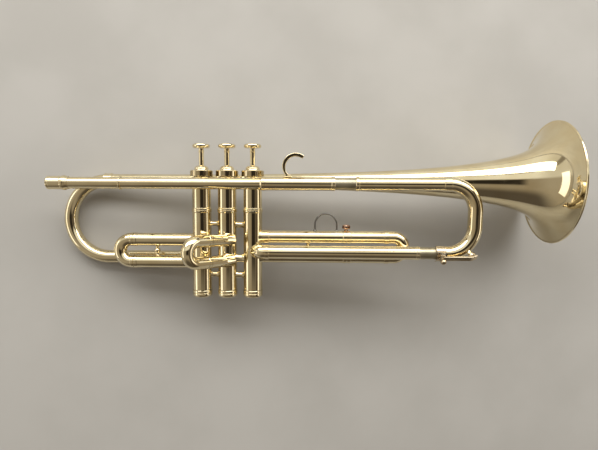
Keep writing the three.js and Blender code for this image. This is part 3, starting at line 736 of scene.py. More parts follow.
class StripRun(Run):
    """A flat strip that stays in the XY plane."""

    def __init__(self, start: Vector, heading: Vector, thickness: float, width: float) -> None:
        """Lays down the first cross-section.

        Args:
            start: the middle of the first cross-section.
            heading: the direction that the strip sets off in.
            thickness: its size in the XY plane.
            width: its size along Z.
        """
        super().__init__(start, heading)
        bmesh.ops.create_grid(self.work, x_segments=1, y_segments=1, size=0.5)
        bmesh.ops.scale(self.work, vec=(thickness, width, 1), verts=self.work.verts[:])
        upright = Vector((0, 0, 1))
        across = Vector((-self.heading.y, self.heading.x, 0))
        turn = Matrix((across, upright, across.cross(upright))).transposed().to_4x4()
        self.work.transform(Matrix.Translation(self.tip) @ turn)
        self.end = self.work.faces[:]

    def straight(self, length: float) -> "StripRun":
        """Goes straight on by a length."""
        self._extrude(length)
        return self

    def bend(self, bend_radius: float, angle: float, axis: Point, steps: int = 8) -> "StripRun":
        """Turns about an axis along Z.

        Args:
            bend_radius: the radius of the middle line.
            angle: how far it turns.
            axis: +Z to turn left, -Z to turn right.
            steps: the number of steps.

        Returns:
            This run.
        """
        about = Vector(axis)
        self._swing(self.tip + about.cross(self.heading).normalized() * bend_radius, about, angle, steps)
        return self


class Workbench:
    """Turns finished solids into pieces of the scene."""

    def __init__(self, axes: TrumpetAxes) -> None:
        """Keeps the instrument's axes.

        Args:
            axes: where the instrument lies.
        """
        self.axes = axes
        self.count = 0

    def piece(
        self, work: BMesh, name: str, body: Body, finish: Finish, replaces: Sequence[str] = (),
    ) -> bpy.types.Object:
        """Makes a piece from a solid in instrument millimetres.

        Args:
            work: the solid, which is used up.
            name: the piece's name.
            body: the body that it rides on.
            finish: its finish.
            replaces: the CAD nodes that it stands for.

        Returns:
            The piece.
        """
        for face in work.faces:
            face.smooth = True
        for edge in work.edges:
            edge.smooth = not is_sharp(edge)
        work.transform(self.axes.to_world)
        mesh = bpy.data.meshes.new(name)
        work.to_mesh(mesh)
        work.free()
        mesh.materials.append(finish.material())
        piece = bpy.data.objects.new(name, mesh)
        bpy.context.scene.collection.objects.link(piece)
        evened = piece.modifiers.new("even_shading", "WEIGHTED_NORMAL")
        evened.keep_sharp = True
        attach(piece, body.value)
        if replaces:
            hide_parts(*replaces)
        self.count += 1
        log.info("%s rides on %s, %d faces", name, body.value, len(mesh.polygons))
        return piece


# ---------------------------------------------------------------- valves


@dataclass
class Valves:
    """The three valves: casings, caps, stems, buttons and what is inside them."""

    pitch: float = 25.2
    radius: float = 9.4
    bore: float = 8.75
    top: float = 6.2
    joint: float = -26.0
    bottom: float = -104.9
    cap_top: float = 17.3
    cap_bottom: float = -112.2
    cap_radius: float = 10.95
    stem_radius: float = 2.6
    button_top: float = 38.3
    button_radius: float = 8.6
    piston_span: Span = (-87.8, -27.0)
    bridges: Sequence[tuple[str, int, float, float]] = (
        ("upper_bridge_12", 1, -39.3, 2.4),
        ("lower_bridge_12", 1, -90.0, 2.6),
        ("upper_bridge_23", 2, -40.4, 3.1),
        ("air_bridge_23", 2, -73.6, 4.1),
        ("lower_bridge_23", 2, -90.4, 3.0),
    )

    def axis_x(self, number: int) -> float:
        """Where a valve's axis is along X."""
        return (number - 2) * self.pitch

    def build(self, bench: Workbench) -> None:
        """Makes every piece of the valves.

        Args:
            bench: the workbench.
        """
        for number, body in enumerate((Body.VALVE_1, Body.VALVE_2, Body.VALVE_3), 1):
            at = (self.axis_x(number), 0.0, 0.0)
            self._casing(bench, number, at)
            self._top_cap(bench, number, at)
            self._bottom_cap(bench, number, at)
            self._stem(bench, number, at, body)
            self._button(bench, number, at, body)
            self._inside(bench, number, at, body)
        for name, left, height, radius in self.bridges:
            self._bridge(bench, name, left, height, radius)

    def _casing(self, bench: Workbench, number: int, at: Point) -> None:
        """The casing: a bright tube with a joint ring of two beads."""
        profile = [
            (self.bottom, self.bore), (self.bottom, self.radius), (self.joint - 2.4, self.radius),
            (self.joint - 1.6, self.radius + 0.5), (self.joint - 0.3, self.radius + 0.55),
            (self.joint, self.radius + 0.15), (self.joint + 0.3, self.radius + 0.55),
            (self.joint + 1.5, self.radius + 0.45), (self.joint + 2.2, self.radius - 0.15),
            (self.top, self.radius - 0.15), (self.top, self.bore),
        ]
        work = place(turned(profile, 0.12, CASING_SIDES), at, Axis.UP)
        bench.piece(work, f"casing_{number}", Body.TRUMPET, LACQUER, [f"valve_casing_{number}"])

    def _top_cap(self, bench: Workbench, number: int, at: Point) -> None:
        """The top cap: a coarsely ribbed band under a smooth dome that is hollowed at its foot."""
        skirt = self.top + GAP
        band = self.cap_radius
        profile = [
            (skirt, self.bore), (skirt, band - 0.6), (skirt + 0.5, band), (12.4, band),
            (13.0, band - 0.6), (13.3, 9.2), (13.35, 7.8), (13.6, 7.15), (14.3, 6.95), (15.3, 6.8),
            (16.2, 6.2), (16.9, 5.4), (self.cap_top, 4.7), (self.cap_top, self.stem_radius + 0.45),
            (12.2, self.stem_radius + 0.45), (12.2, self.bore - 0.9),
        ]
        work = turned(profile, 0.12, KNURL_SIDES)
        knurl(work, band, (skirt + 0.5, 12.4), 0.4)
        place(work, at, Axis.UP)
        bench.piece(work, f"top_cap_{number}_turned", Body.TRUMPET, LACQUER, [f"top_cap_{number}"])

    def _bottom_cap(self, bench: Workbench, number: int, at: Point) -> None:
        """The bottom cap: a smooth cup with one fine groove, a round edge and a vent in its dished end."""
        seat = self.bottom - GAP
        profile = [
            (seat, 7.9), (seat, 9.5), (seat - 0.4, 9.75), (seat - 2.5, 9.75), (seat - 2.8, 9.4),
            (seat - 3.1, 9.75), (self.cap_bottom + 2.3, 9.7), (self.cap_bottom + 1.2, 9.35),
            (self.cap_bottom + 0.4, 8.7), (self.cap_bottom, 7.6), (self.cap_bottom + 0.9, 5.4),
            (self.cap_bottom + 1.1, 3.6), (self.cap_bottom + 0.1, 3.3), (self.cap_bottom + 0.1, 2.0),
            (self.cap_bottom + 2.2, 2.0), (self.cap_bottom + 2.2, 7.9),
        ]
        work = turned(profile, 0.12, CASING_SIDES)
        place(work, at, Axis.UP)
        bench.piece(work, f"bottom_cap_{number}_turned", Body.TRUMPET, LACQUER, [f"bottom_cap_{number}"])

    def _stem(self, bench: Workbench, number: int, at: Point, body: Body) -> None:
        """The stem: a bar with a foot inside the casing and a turned neck under the button."""
        base = self.button_top - 4.0
        profile = [
            (2.9, 0), (2.9, 5.6), (11.6, 5.6), (11.6, self.stem_radius), (base - 4.2, self.stem_radius),
            (base - 3.8, self.stem_radius + 0.22), (base - 3.0, self.stem_radius + 0.28),
            (base - 2.6, self.stem_radius), (base - 0.3, self.stem_radius), (base - 0.3, 0),
        ]
        work = place(turned(profile, 0.15), at, Axis.UP)
        bench.piece(work, f"stem_{number}", body, LACQUER, [f"valve_stem_{number}"])

    def _button(self, bench: Workbench, number: int, at: Point, body: Body) -> None:
        """The finger button: a thick drum with round edges, and a pearl set in it."""
        base = self.button_top - 4.0
        profile = [
            (base - 0.1, 0), (base - 0.1, 5.9), (base + 0.15, 7.1), (base + 0.6, 8.0),
            (base + 1.3, self.button_radius - 0.08), (base + 1.9, self.button_radius),
            (self.button_top - 1.3, self.button_radius),
            (self.button_top - 0.6, self.button_radius - 0.3),
            (self.button_top - 0.1, self.button_radius - 0.9),
            (self.button_top, self.button_radius - 1.3),
            (self.button_top - 0.9, self.button_radius - 1.5), (self.button_top - 1.1, 0),
        ]
        work = place(turned(profile, 0.12, CASING_SIDES), at, Axis.UP)
        bench.piece(work, f"button_{number}", body, LACQUER, [f"finger_button_{number}"])
        inlay = [
            (self.button_top - 1.05, 0), (self.button_top - 0.85, self.button_radius - 1.55),
            (self.button_top - 0.35, self.button_radius - 1.55),
            (self.button_top - 0.15, self.button_radius - 2.2), (self.button_top - 0.3, 4.0),
            (self.button_top - 0.42, 0),
        ]
        work = place(turned(inlay, 0.1, CASING_SIDES), at, Axis.UP)
        bench.piece(work, f"button_pearl_{number}", body, PEARL)

    def _inside(self, bench: Workbench, number: int, at: Point, body: Body) -> None:
        """The coil spring inside the piston's barrel, and the nickel finish for the CAD piston."""
        turns, wire, radius = 9, 0.45, 4.1
        low, high = self.piston_span[1] + 3.6, 0.3
        spring = bmesh.new()
        bmesh.ops.create_circle(spring, cap_ends=True, cap_tris=False, segments=8, radius=wire)
        spring.transform(Matrix.Translation((low, radius, 0)) @ Matrix.Rotation(0.06, 4, "Y"))
        steps = turns * 20
        bmesh.ops.spin(
            spring, geom=spring.verts[:] + spring.edges[:] + spring.faces[:], cent=(0, 0, 0), axis=(1, 0, 0),
            dvec=((high - low) / steps, 0, 0), angle=FULL_TURN * turns, steps=steps, use_merge=False,
            use_duplicate=False,
        )
        bmesh.ops.recalc_face_normals(spring, faces=spring.faces[:])
        bench.piece(place(spring, at, Axis.UP), f"spring_{number}", body, STEEL, [f"valve_spring_{number}"])
        piston = frame["nodes"][f"piston_{number}"]
        piston.data.materials.clear()
        piston.data.materials.append(NICKEL.material())

    def _bridge(self, bench: Workbench, name: str, left: int, height: float, radius: float) -> None:
        """A strut between two casings, with its solder flared onto both walls."""
        near, far = self.axis_x(left), self.axis_x(left + 1)
        middle = (near + far) / 2
        half = self.pitch / 2 - self.radius
        flare = radius + 0.7
        run = TubeRun((middle - half + 0.2, height, 0), (1, 0, 0), flare)
        for length, size in (
            (0.7, radius + 0.15), (0.6, radius), (2 * half - 3.0, radius), (0.6, radius + 0.15), (0.7, flare),
        ):
            run.straight(length, size)
        run.cope(run.end_verts(), Vector((1, 0, 0)), far, self.radius - SOLDER)
        run.cope(run.first, Vector((-1, 0, 0)), near, self.radius - SOLDER)
        bench.piece(run.rounded(0.05), f"{name}_soldered", Body.TRUMPET, LACQUER, [name])


# ---------------------------------------------------------------- leadpipe line


@dataclass
class LeadpipeLine:
    """Receiver, leadpipe, its ring and the upper outer slide tube."""

    z: float = 15.9
    receiver_end: float = -168.65
    receiver_front: float = -151.0
    ring_x: float = -98.9
    radius: float = 5.65
    bore: float = 4.9
    outer_start: float = 36.0
    outer_end: float = 105.0
    outer_radius: float = 6.45
    outer_bore: float = 6.05

    def build(self, bench: Workbench) -> None:
        """Makes the line's pieces.

        Args:
            bench: the workbench.
        """
        at = (0.0, 0.0, self.z)
        end, front = self.receiver_end, self.receiver_front
        receiver = turned([
            (end, 5.15), (end, 6.35), (end + 0.9, 6.5), (end + 1.7, 6.5), (end + 2.0, 6.3),
            (end + 2.3, 6.45), (front - 4.4, 6.45), (front - 3.6, 6.6), (front - 3.2, 7.0),
            (front - 1.2, 7.0), (front - 0.8, 6.6), (front - 0.2, 6.65), (front + 0.4, 6.2),
            (front + 3, 5.95), (front + 3, 5.75), (front - 6, 5.75), (front - 6, 4.75),
        ], 0.12)
        bench.piece(place(receiver, at), "receiver", Body.TRUMPET, LACQUER, ["mouthpiece_receiver"])
        pipe = turned([
            (front - 5.7, self.bore), (front - 5.7, self.radius), (self.outer_start + 8, self.radius),
            (self.outer_start + 8, self.bore),
        ], 0.12)
        bench.piece(place(pipe, at), "leadpipe_tube", Body.TRUMPET, LACQUER, ["leadpipe"])
        ring_x = self.ring_x
        ring = turned([
            (ring_x - 1.1, 5.7), (ring_x - 1.0, 6.05), (ring_x - 0.5, 6.45), (ring_x + 0.5, 6.45),
            (ring_x + 1.0, 6.05), (ring_x + 1.1, 5.7),
        ], 0.1)
        bench.piece(place(ring, at), "leadpipe_joint_ring", Body.TRUMPET, LACQUER, ["leadpipe_ring"])
        outer = OuterTube(self.outer_start, self.outer_end, self.outer_radius, self.outer_bore).turned()
        bench.piece(place(outer, at), "upper_outer_tube", Body.TRUMPET, LACQUER, ["upper_outer_slide"])
        collar = turned([
            (self.outer_start - 0.1, 5.7), (self.outer_start - 1.6, 5.85), (self.outer_start - 0.6, 6.5),
            (self.outer_start + 0.2, 6.7), (self.outer_start + 3.2, 6.7), (self.outer_start + 3.6, 6.5),
            (self.outer_start + 3.6, 6.3), (self.outer_start - 0.1, 6.3),
        ], 0.06)
        bench.piece(place(collar, at), "upper_outer_collar", Body.TRUMPET, LACQUER)


@dataclass
class OuterTube:
    """An outer slide tube with a thicker, rounded mouth ring at its open end."""

    start: float
    end: float
    radius: float
    bore: float
    mouth_at_end: bool = True
    ring: float = 3.0
    lip: float = 0.35

    def turned(self) -> BMesh:
        """Makes the tube about X.

        Returns:
            The tube.
        """
        lip = self.radius + self.lip
        profile = [
            (0.0, self.bore), (0.0, self.radius), (self.length - self.ring - 0.4, self.radius),
            (self.length - self.ring, lip - 0.05), (self.length - self.ring / 2 - 0.25, lip),
            (self.length - self.ring / 2, lip - 0.15), (self.length - self.ring / 2 + 0.25, lip),
            (self.length - 0.3, lip), (self.length, lip - 0.2), (self.length, self.bore),
        ]
        if not self.mouth_at_end:
            profile = [(self.length - along, radius) for along, radius in profile]
        return place(turned(profile, 0.08), (self.start, 0, 0))

    @property
    def length(self) -> float:
        """How long the tube is."""
        return self.end - self.start


# ---------------------------------------------------------------- main tuning slide


@dataclass
class MainTuningSlide:
    """The main tuning slide: fixed lower tube with its elbow, both legs, the sleeve and the bow."""

    lead_z: float = 15.9
    lower_y: float = -65.6
    lower_z: float = 13.5
    outer_span: Span = (42.0, 185.9)
    outer_radius: float = 6.45
    outer_bore: float = 6.05
    leg_radius: float = 5.8
    leg_bore: float = 5.35
    sleeve_span: Span = (124.4, 211.7)
    bow_start: float = 212.0
    bow_end: float = 237.7
    bow_radius: float = 6.8
    bow_bend: float = 25.5
    lower_joint: float = 202.0
    elbow_bend: float = 8.0
    elbow_straight: float = 4.0
    nipple: tuple[float, float, float, float] = (6.1, 9.4, 2.3, 1.1)

    def build(self, bench: Workbench) -> None:
        """Makes the slide's pieces.

        Args:
            bench: the workbench.
        """
        upper, lower = (0.0, 0.0, self.lead_z), (0.0, self.lower_y, self.lower_z)
        outer = OuterTube(*self.outer_span, self.outer_radius, self.outer_bore).turned()
        bench.piece(place(outer, lower), "lower_outer_tube", Body.TRUMPET, LACQUER, ["lower_outer_slide"])
        self._elbow(bench)
        for name, node, span, at in (
            ("upper_leg", "tuning_slide_upper_leg", (63.0, self.sleeve_span[0] + 14), upper),
            ("lower_leg", "tuning_slide_lower_leg", (118.0, self.lower_joint - GAP), lower),
        ):
            leg = turned([
                (span[0], self.leg_bore), (span[0], self.leg_radius), (span[1], self.leg_radius),
                (span[1], self.leg_bore),
            ], 0.1)
            bench.piece(place(leg, at), name, Body.TUNING_SLIDE, RAW_BRASS, [node])
        self._sleeve(bench, upper)
        self._bow(bench)

    def _elbow(self, bench: Workbench) -> None:
        """The short elbow from valve 3's wall into the lower tube, flared onto the casing."""
        valves = Valves()
        run = TubeRun((self.outer_span[0] - GAP, self.lower_y, self.lower_z), (-1, 0, 0), 6.7, 5.6)
        run.straight(self.elbow_straight).bend(self.elbow_bend, (0, 0, -1), QUARTER_TURN)
        run.cope(run.end_verts(), Vector((0, 0, -1)), valves.axis_x(3), valves.radius - SOLDER)
        bench.piece(run.rounded(0.1), "lower_elbow", Body.TRUMPET, LACQUER, ["lower_slide_elbow"])
        start = self.outer_span[0]
        collar = turned([
            (start - 3.2, 6.75), (start - 3.0, 7.05), (start + 0.1, 7.05), (start + 0.4, 6.8),
            (start + 0.4, 6.5), (start - 0.1, 6.5), (start - 0.1, 6.75),
        ], 0.12)
        at = (0.0, self.lower_y, self.lower_z)
        bench.piece(place(collar, at), "lower_elbow_ferrule", Body.TRUMPET, LACQUER)

    def _sleeve(self, bench: Workbench, at: Point) -> None:
        """The long upper sleeve that joins the leg to the bow, with a ring at its open end."""
        start, end = self.sleeve_span
        sleeve = turned([
            (start, self.leg_radius + 0.05), (start, self.outer_radius + 0.1),
            (start + 0.4, self.outer_radius + 0.4), (start + 3.0, self.outer_radius + 0.4),
            (start + 3.4, self.outer_radius), (end, self.outer_radius), (end, self.leg_radius + 0.05),
        ], 0.1)
        bench.piece(place(sleeve, at), "upper_sleeve", Body.TUNING_SLIDE, LACQUER, ["tuning_slide_sleeve"])
        ferrule = turned([
            (end - 5.2, self.outer_radius + 0.02), (end - 5.0, self.outer_radius + 0.4),
            (end + 1.6, self.bow_radius + 0.3), (end + 1.9, self.bow_radius + 0.02),
        ], 0.1)
        bench.piece(place(ferrule, at), "upper_bow_ferrule", Body.TUNING_SLIDE, LACQUER)

    def _bow(self, bench: Workbench) -> None:
        """The bow: down from the sleeve to the lower leg, with the water key's nipple on its lower bend."""
        top = Vector((self.bow_end, 0, self.lead_z))
        bottom = Vector((self.bow_end, self.lower_y, self.lower_z))
        down = (bottom - top).normalized()
        run = TubeRun((self.bow_start, 0, self.lead_z), (1, 0, 0), self.bow_radius, self.leg_radius - 0.2)
        run.straight(self.bow_end - self.bow_start - self.bow_bend)
        run.bend(self.bow_bend, down)
        run.straight((bottom - top).length - 2 * self.bow_bend)
        run.bend(self.bow_bend, (-1, 0, 0))
        run.straight(self.bow_end - self.bow_bend - self.lower_joint)
        at = (0.0, self.lower_y, self.lower_z)
        joint = self.lower_joint
        ferrule = place(turned([
            (joint + 0.2, self.bow_radius + 0.02), (joint + 0.4, self.bow_radius + 0.45),
            (joint + 5.6, self.bow_radius + 0.45), (joint + 5.9, self.bow_radius + 0.02),
        ], 0.1), at)
        bow = run.rounded(0.12)
        near, far, radius, hole = self.nipple
        nipple = turned([
            (near - 0.4, hole), (near - 0.4, radius + 1.0), (near + 0.6, radius + 0.25),
            (near + 1.4, radius), (far - 0.2, radius), (far, radius - 0.2), (far, hole),
        ], 0.06, 32)
        spot = WaterKey().nipple_frame()
        nipple.transform(spot)
        bench.piece(join(bow, nipple), "main_bow", Body.TUNING_SLIDE, LACQUER, ["tuning_slide_bow"])
        bench.piece(ferrule, "lower_bow_ferrule", Body.TUNING_SLIDE, LACQUER)


@dataclass
class WaterKey:
    """The water key: saddle, pin, lever with cup and thumb stub, cork and spring."""

    x: float = 205.5
    radial: float = 10.6
    turn: float = math.radians(75)
    half_width: float = 2.2
    leg: Span = (-65.6, 13.5)
    bow_end: float = 237.7
    bow_bend: float = 25.5
    nipple_angle: float = math.radians(-51)
    nipple_turn: float = math.radians(43)
    cork_span: Span = (9.7, 11.3)
    cork_radius: float = 2.7
    cup_span: Span = (10.7, 13.4)
    cup_radius: float = 3.6
    strap_half: float = 4.5
    strap_radii: Span = (7.35, 8.0)
    ear_thickness: float = 1.5
    pin_radius: float = 0.85

    @property
    def out(self) -> Vector:
        """The direction from the leg's axis to the pin."""
        return Vector((0, -math.cos(self.turn), math.sin(self.turn)))

    @property
    def pivot(self) -> Vector:
        """The middle of the pin."""
        return Vector((self.x, *self.leg)) + self.out * self.radial

    @property
    def nipple_out(self) -> Vector:
        """The direction that the nipple points in."""
        flat = math.cos(self.nipple_turn)
        across = (math.cos(self.nipple_angle) * flat, math.sin(self.nipple_angle) * flat)
        return Vector((*across, math.sin(self.nipple_turn)))

    def nipple_frame(self) -> Matrix:
        """Takes a solid turned about X to the nipple's axis, with X from the bow's middle line."""
        x = self.bow_end - self.bow_bend * (1 - math.cos(self.nipple_angle))
        y = self.leg[0] + self.bow_bend * (1 + math.sin(self.nipple_angle))
        foot = Vector((x, y, self.leg[1] + 0.2))
        return Matrix.Translation(foot) @ self.nipple_out.to_track_quat("X", "Z").to_matrix().to_4x4()

    def lever_frame(self) -> Matrix:
        """Takes the lever's own axes, +X to the cup, +Y to the leg and +Z along the pin, to their place."""
        reach = self.nipple_frame() @ Vector((self.cup_span[1], 0, 0)) - self.pivot
        along = reach.normalized()
        hinge = self.nipple_out.cross(along).normalized()
        turn = Matrix((along, hinge.cross(along), hinge)).transposed().to_4x4()
        return Matrix.Translation(self.pivot) @ turn

    def build(self, bench: Workbench) -> None:
        """Makes the water key's pieces.

        Args:
            bench: the workbench.
        """
        near, far = self.cork_span
        radius = self.cork_radius
        cork = turned([(near, 0), (near, radius), (far + 0.4, radius), (far + 0.4, 0)], 0.15, 32)
        cork.transform(self.nipple_frame())
        bench.piece(cork, "key_cork", Body.WATER_KEY, CORK, ["water_key_cork"])
        self._lever(bench)
        self._saddle(bench)
        self._spring(bench)

    def _lever(self, bench: Workbench) -> None:
        """The lever: hub, flat arm that curls up to the cup, and thumb stub."""
        near, far = self.cup_span
        cup = turned([
            (near + 0.7, 0), (near + 0.7, self.cork_radius + 0.1), (near - 0.2, self.cork_radius + 0.1),
            (near - 0.2, self.cup_radius), (far - 0.8, self.cup_radius), (far, self.cup_radius - 0.9),
            (far, 0),
        ], 0.12, 32)
        cup.transform(self.lever_frame().inverted() @ self.nipple_frame())
        hub = place(turned([
            (-self.half_width, self.pin_radius + 0.25), (-self.half_width, 2.1), (self.half_width, 2.1),
            (self.half_width, self.pin_radius + 0.25),
        ], 0.15, 32), (0, 0, 0), Axis.SIDE)
        reach = (self.nipple_frame() @ Vector((far, 0, 0)) - self.pivot).length
        start, knee = Vector((0.6, -1.1, 0)), Vector((reach - 3.6, -2.0, 0))
        arm = StripRun(start, knee - start, 1.8, 2 * self.half_width + 0.6)
        arm.straight((knee - start).length).bend(6.0, math.radians(24), (0, 0, 1)).straight(4.6)
        stub = turned([
            (0.0, 0), (0.0, 1.9), (2.2, 1.8), (2.7, 2.3), (3.5, 2.75), (4.6, 2.8), (5.7, 2.35),
            (6.3, 1.4), (6.5, 0),
        ], 0.3, 32)
        stub.transform(Matrix.Translation((-0.4, -1.2, 0)) @ Matrix.Rotation(-QUARTER_TURN, 4, "Z"))
        work = join(hub, cup, arm.rounded(0.4), stub)
        work.transform(self.lever_frame())
        bench.piece(work, "key_lever", Body.WATER_KEY, KEY_BRASS, ["water_key_lever"])

    def _saddle(self, bench: Workbench) -> None:
        """The saddle: an open strap round the tube with two ears, and the pin through them."""
        inner, outer = self.strap_radii
        half = self.strap_half
        strap = turned([
            (-half, inner), (-half, outer - 0.1), (-half + 1.1, outer), (-half + 1.5, outer - 0.3),
            (half - 1.5, outer - 0.3), (half - 1.1, outer), (half, outer - 0.1), (half, inner),
        ], 0.1)
        axis = Vector((self.x, *self.leg))
        place(strap, axis)
        bmesh.ops.bisect_plane(
            strap, geom=strap.verts[:] + strap.edges[:] + strap.faces[:], plane_co=axis + self.out * 1.5,
            plane_no=-self.out, clear_outer=True, clear_inner=False,
        )
        bmesh.ops.holes_fill(strap, edges=[edge for edge in strap.edges if edge.is_boundary], sides=0)
        strap.transform(self.lever_frame().inverted())
        parts = [strap]
        for side in (-1, 1):
            ear = bmesh.new()
            bmesh.ops.create_cube(ear, size=1.0)
            bmesh.ops.scale(ear, vec=(4.6, 5.6, self.ear_thickness), verts=ear.verts[:])
            lower = [edge for edge in ear.edges if all(vert.co.y < 0 for vert in edge.verts)]
            upright = [edge for edge in lower if abs(edge.verts[0].co.z - edge.verts[1].co.z) > 1]
            ease(ear, upright, 2.1, 8)
            place(ear, (0, 1.0, side * (self.half_width + 0.3 + self.ear_thickness / 2)))
            parts.append(ear)
        reach = self.half_width + 0.3 + self.ear_thickness
        pin = turned([
            (-reach - 0.45, 0), (-reach - 0.45, self.pin_radius), (reach - 0.05, self.pin_radius),
            (reach - 0.05, 1.5), (reach + 0.45, 1.4), (reach + 0.5, 0),
        ], 0.08, 24)
        parts.append(place(pin, (0, 0, 0), Axis.SIDE))
        work = join(*parts)
        work.transform(self.lever_frame())
        bench.piece(work, "key_saddle", Body.TUNING_SLIDE, KEY_BRASS, ["water_key_saddle"])

    def _spring(self, bench: Workbench) -> None:
        """The wire spring that lies beside an ear and presses on the lever's arm."""
        run = TubeRun((-5.0, 3.0, 4.7), (1, -0.38, 0), 0.4, sides=12)
        run.straight(7.6).bend(1.2, (0, 0, -1), QUARTER_TURN, 8).straight(5.2)
        work = run.rounded(0.05)
        work.transform(self.lever_frame())
        bench.piece(work, "key_spring", Body.TUNING_SLIDE, STEEL)


# ---------------------------------------------------------------- bell


@dataclass
class Bell:
    """The bell: flare and stem in one piece, rolled rim, ferrule, bow and tail elbow."""

    y: float = 2.9
    z: float = -16.8
    rim_x: float = 323.6
    rim_radius: float = 61.2
    bead: float = 1.12
    wall: float = 0.8
    throat: float = 4.07
    taper: tuple[float, float, float] = (34.65, 262.6, 3.28)
    flare: Span = (22.78, 10.19)
    tube_radius: float = 6.5
    tube_bore: float = 6.0
    bow_left: float = -164.6
    bow_bend: float = 39.2
    tail_end: float = -48.0
    tail_bend: float = 8.8
    sides: int = 144
    rings: int = 48
    first_depth: float = 0.7
    least_step: float = 0.9
    crowding: float = 3.2
    short_of_bow: float = 1.0

    def radius(self, depth: float) -> float:
        """The bell's outer radius at a depth behind its rim."""
        size, length, power = self.taper
        height, reach = self.flare
        taper = size * (1 + depth / length) ** -power
        return max(self.throat + taper + height * math.exp(-depth / reach), self.tube_radius)

    def build(self, bench: Workbench) -> None:
        """Makes the bell's pieces.

        Args:
            bench: the workbench.
        """
        at = (0.0, self.y, self.z)
        bow_start = self.bow_left + self.bow_bend
        stem_depth = self.rim_x - bow_start - GAP
        last = self.rings - 1
        spread = stem_depth - self.short_of_bow - self.first_depth - self.least_step * last
        depths = [
            self.first_depth + self.least_step * step + spread * (step / last) ** self.crowding
            for step in range(self.rings)
        ]
        outside = [(self.rim_x - depth, self.radius(depth)) for depth in depths]
        inside = []
        for depth in depths:
            slope = (self.radius(depth + 0.1) - self.radius(depth - 0.1)) / 0.2
            steep = math.hypot(1, slope)
            inward = self.wall / steep
            inside.append((self.rim_x - depth - slope * inward, self.radius(depth) - inward))
        shell = turned([*outside, *reversed(inside)], 0.0, self.sides)
        bench.piece(place(shell, at), "bell", Body.TRUMPET, LACQUER, ["bell_flare", "bell_stem"])
        ring = bmesh.new()
        bmesh.ops.create_circle(ring, cap_ends=False, segments=20, radius=self.bead)
        bmesh.ops.translate(ring, verts=ring.verts[:], vec=(0, self.rim_radius - self.bead, 0))
        full_spin(ring, self.sides)
        bmesh.ops.recalc_face_normals(ring, faces=ring.faces[:])
        place(ring, (self.rim_x, self.y, self.z))
        bench.piece(ring, "bell_rolled_rim", Body.TRUMPET, LACQUER, ["bell_rim"])
        tube = self.tube_radius
        ferrule = turned([
            (bow_start - 3.2, tube + 0.02), (bow_start - 3.0, tube + 0.5), (bow_start - 2.0, tube + 1.0),
            (bow_start - 1.4, tube + 0.75), (bow_start + 3.4, tube + 0.75), (bow_start + 4.0, tube + 1.0),
            (bow_start + 5.0, tube + 0.5), (bow_start + 5.2, tube + 0.02),
        ], 0.1)
        bench.piece(place(ferrule, at), "bow_ferrule", Body.TRUMPET, LACQUER, ["bell_bow_ferrule"])
        run = TubeRun((bow_start, self.y, self.z), (-1, 0, 0), tube, self.tube_bore)
        run.bend(self.bow_bend, (0, -1, 0), math.pi, 44)
        run.straight(self.tail_end - GAP - bow_start)
        bench.piece(run.rounded(0.1), "rear_bow", Body.TRUMPET, LACQUER, ["bell_bow"])
        self._tail(bench)

    def _tail(self, bench: Workbench) -> None:
        """The elbow from the bow's lower leg into valve 1's left wall, with a ferrule."""
        valves = Valves()
        tail_y = self.y - 2 * self.bow_bend
        run = TubeRun((self.tail_end - GAP, tail_y, self.z), (1, 0, 0), 6.7, 5.6)
        run.straight(valves.axis_x(1) - self.tail_bend - self.tail_end + GAP)
        run.bend(self.tail_bend, (0, 0, 1))
        run.cope(run.end_verts(), Vector((0, 0, 1)), valves.axis_x(1), valves.radius - SOLDER)
        bench.piece(run.rounded(0.1), "tail_elbow", Body.TRUMPET, LACQUER, ["bell_tail_elbow"])
        ferrule = turned([
            (self.tail_end - 5.0, 6.62), (self.tail_end - 4.8, 7.1), (self.tail_end + 3.8, 7.1),
            (self.tail_end + 4.0, 6.72),
        ], 0.1)
        bench.piece(place(ferrule, (0, tail_y, self.z)), "tail_ferrule", Body.TRUMPET, LACQUER)


# ---------------------------------------------------------------- valve slides


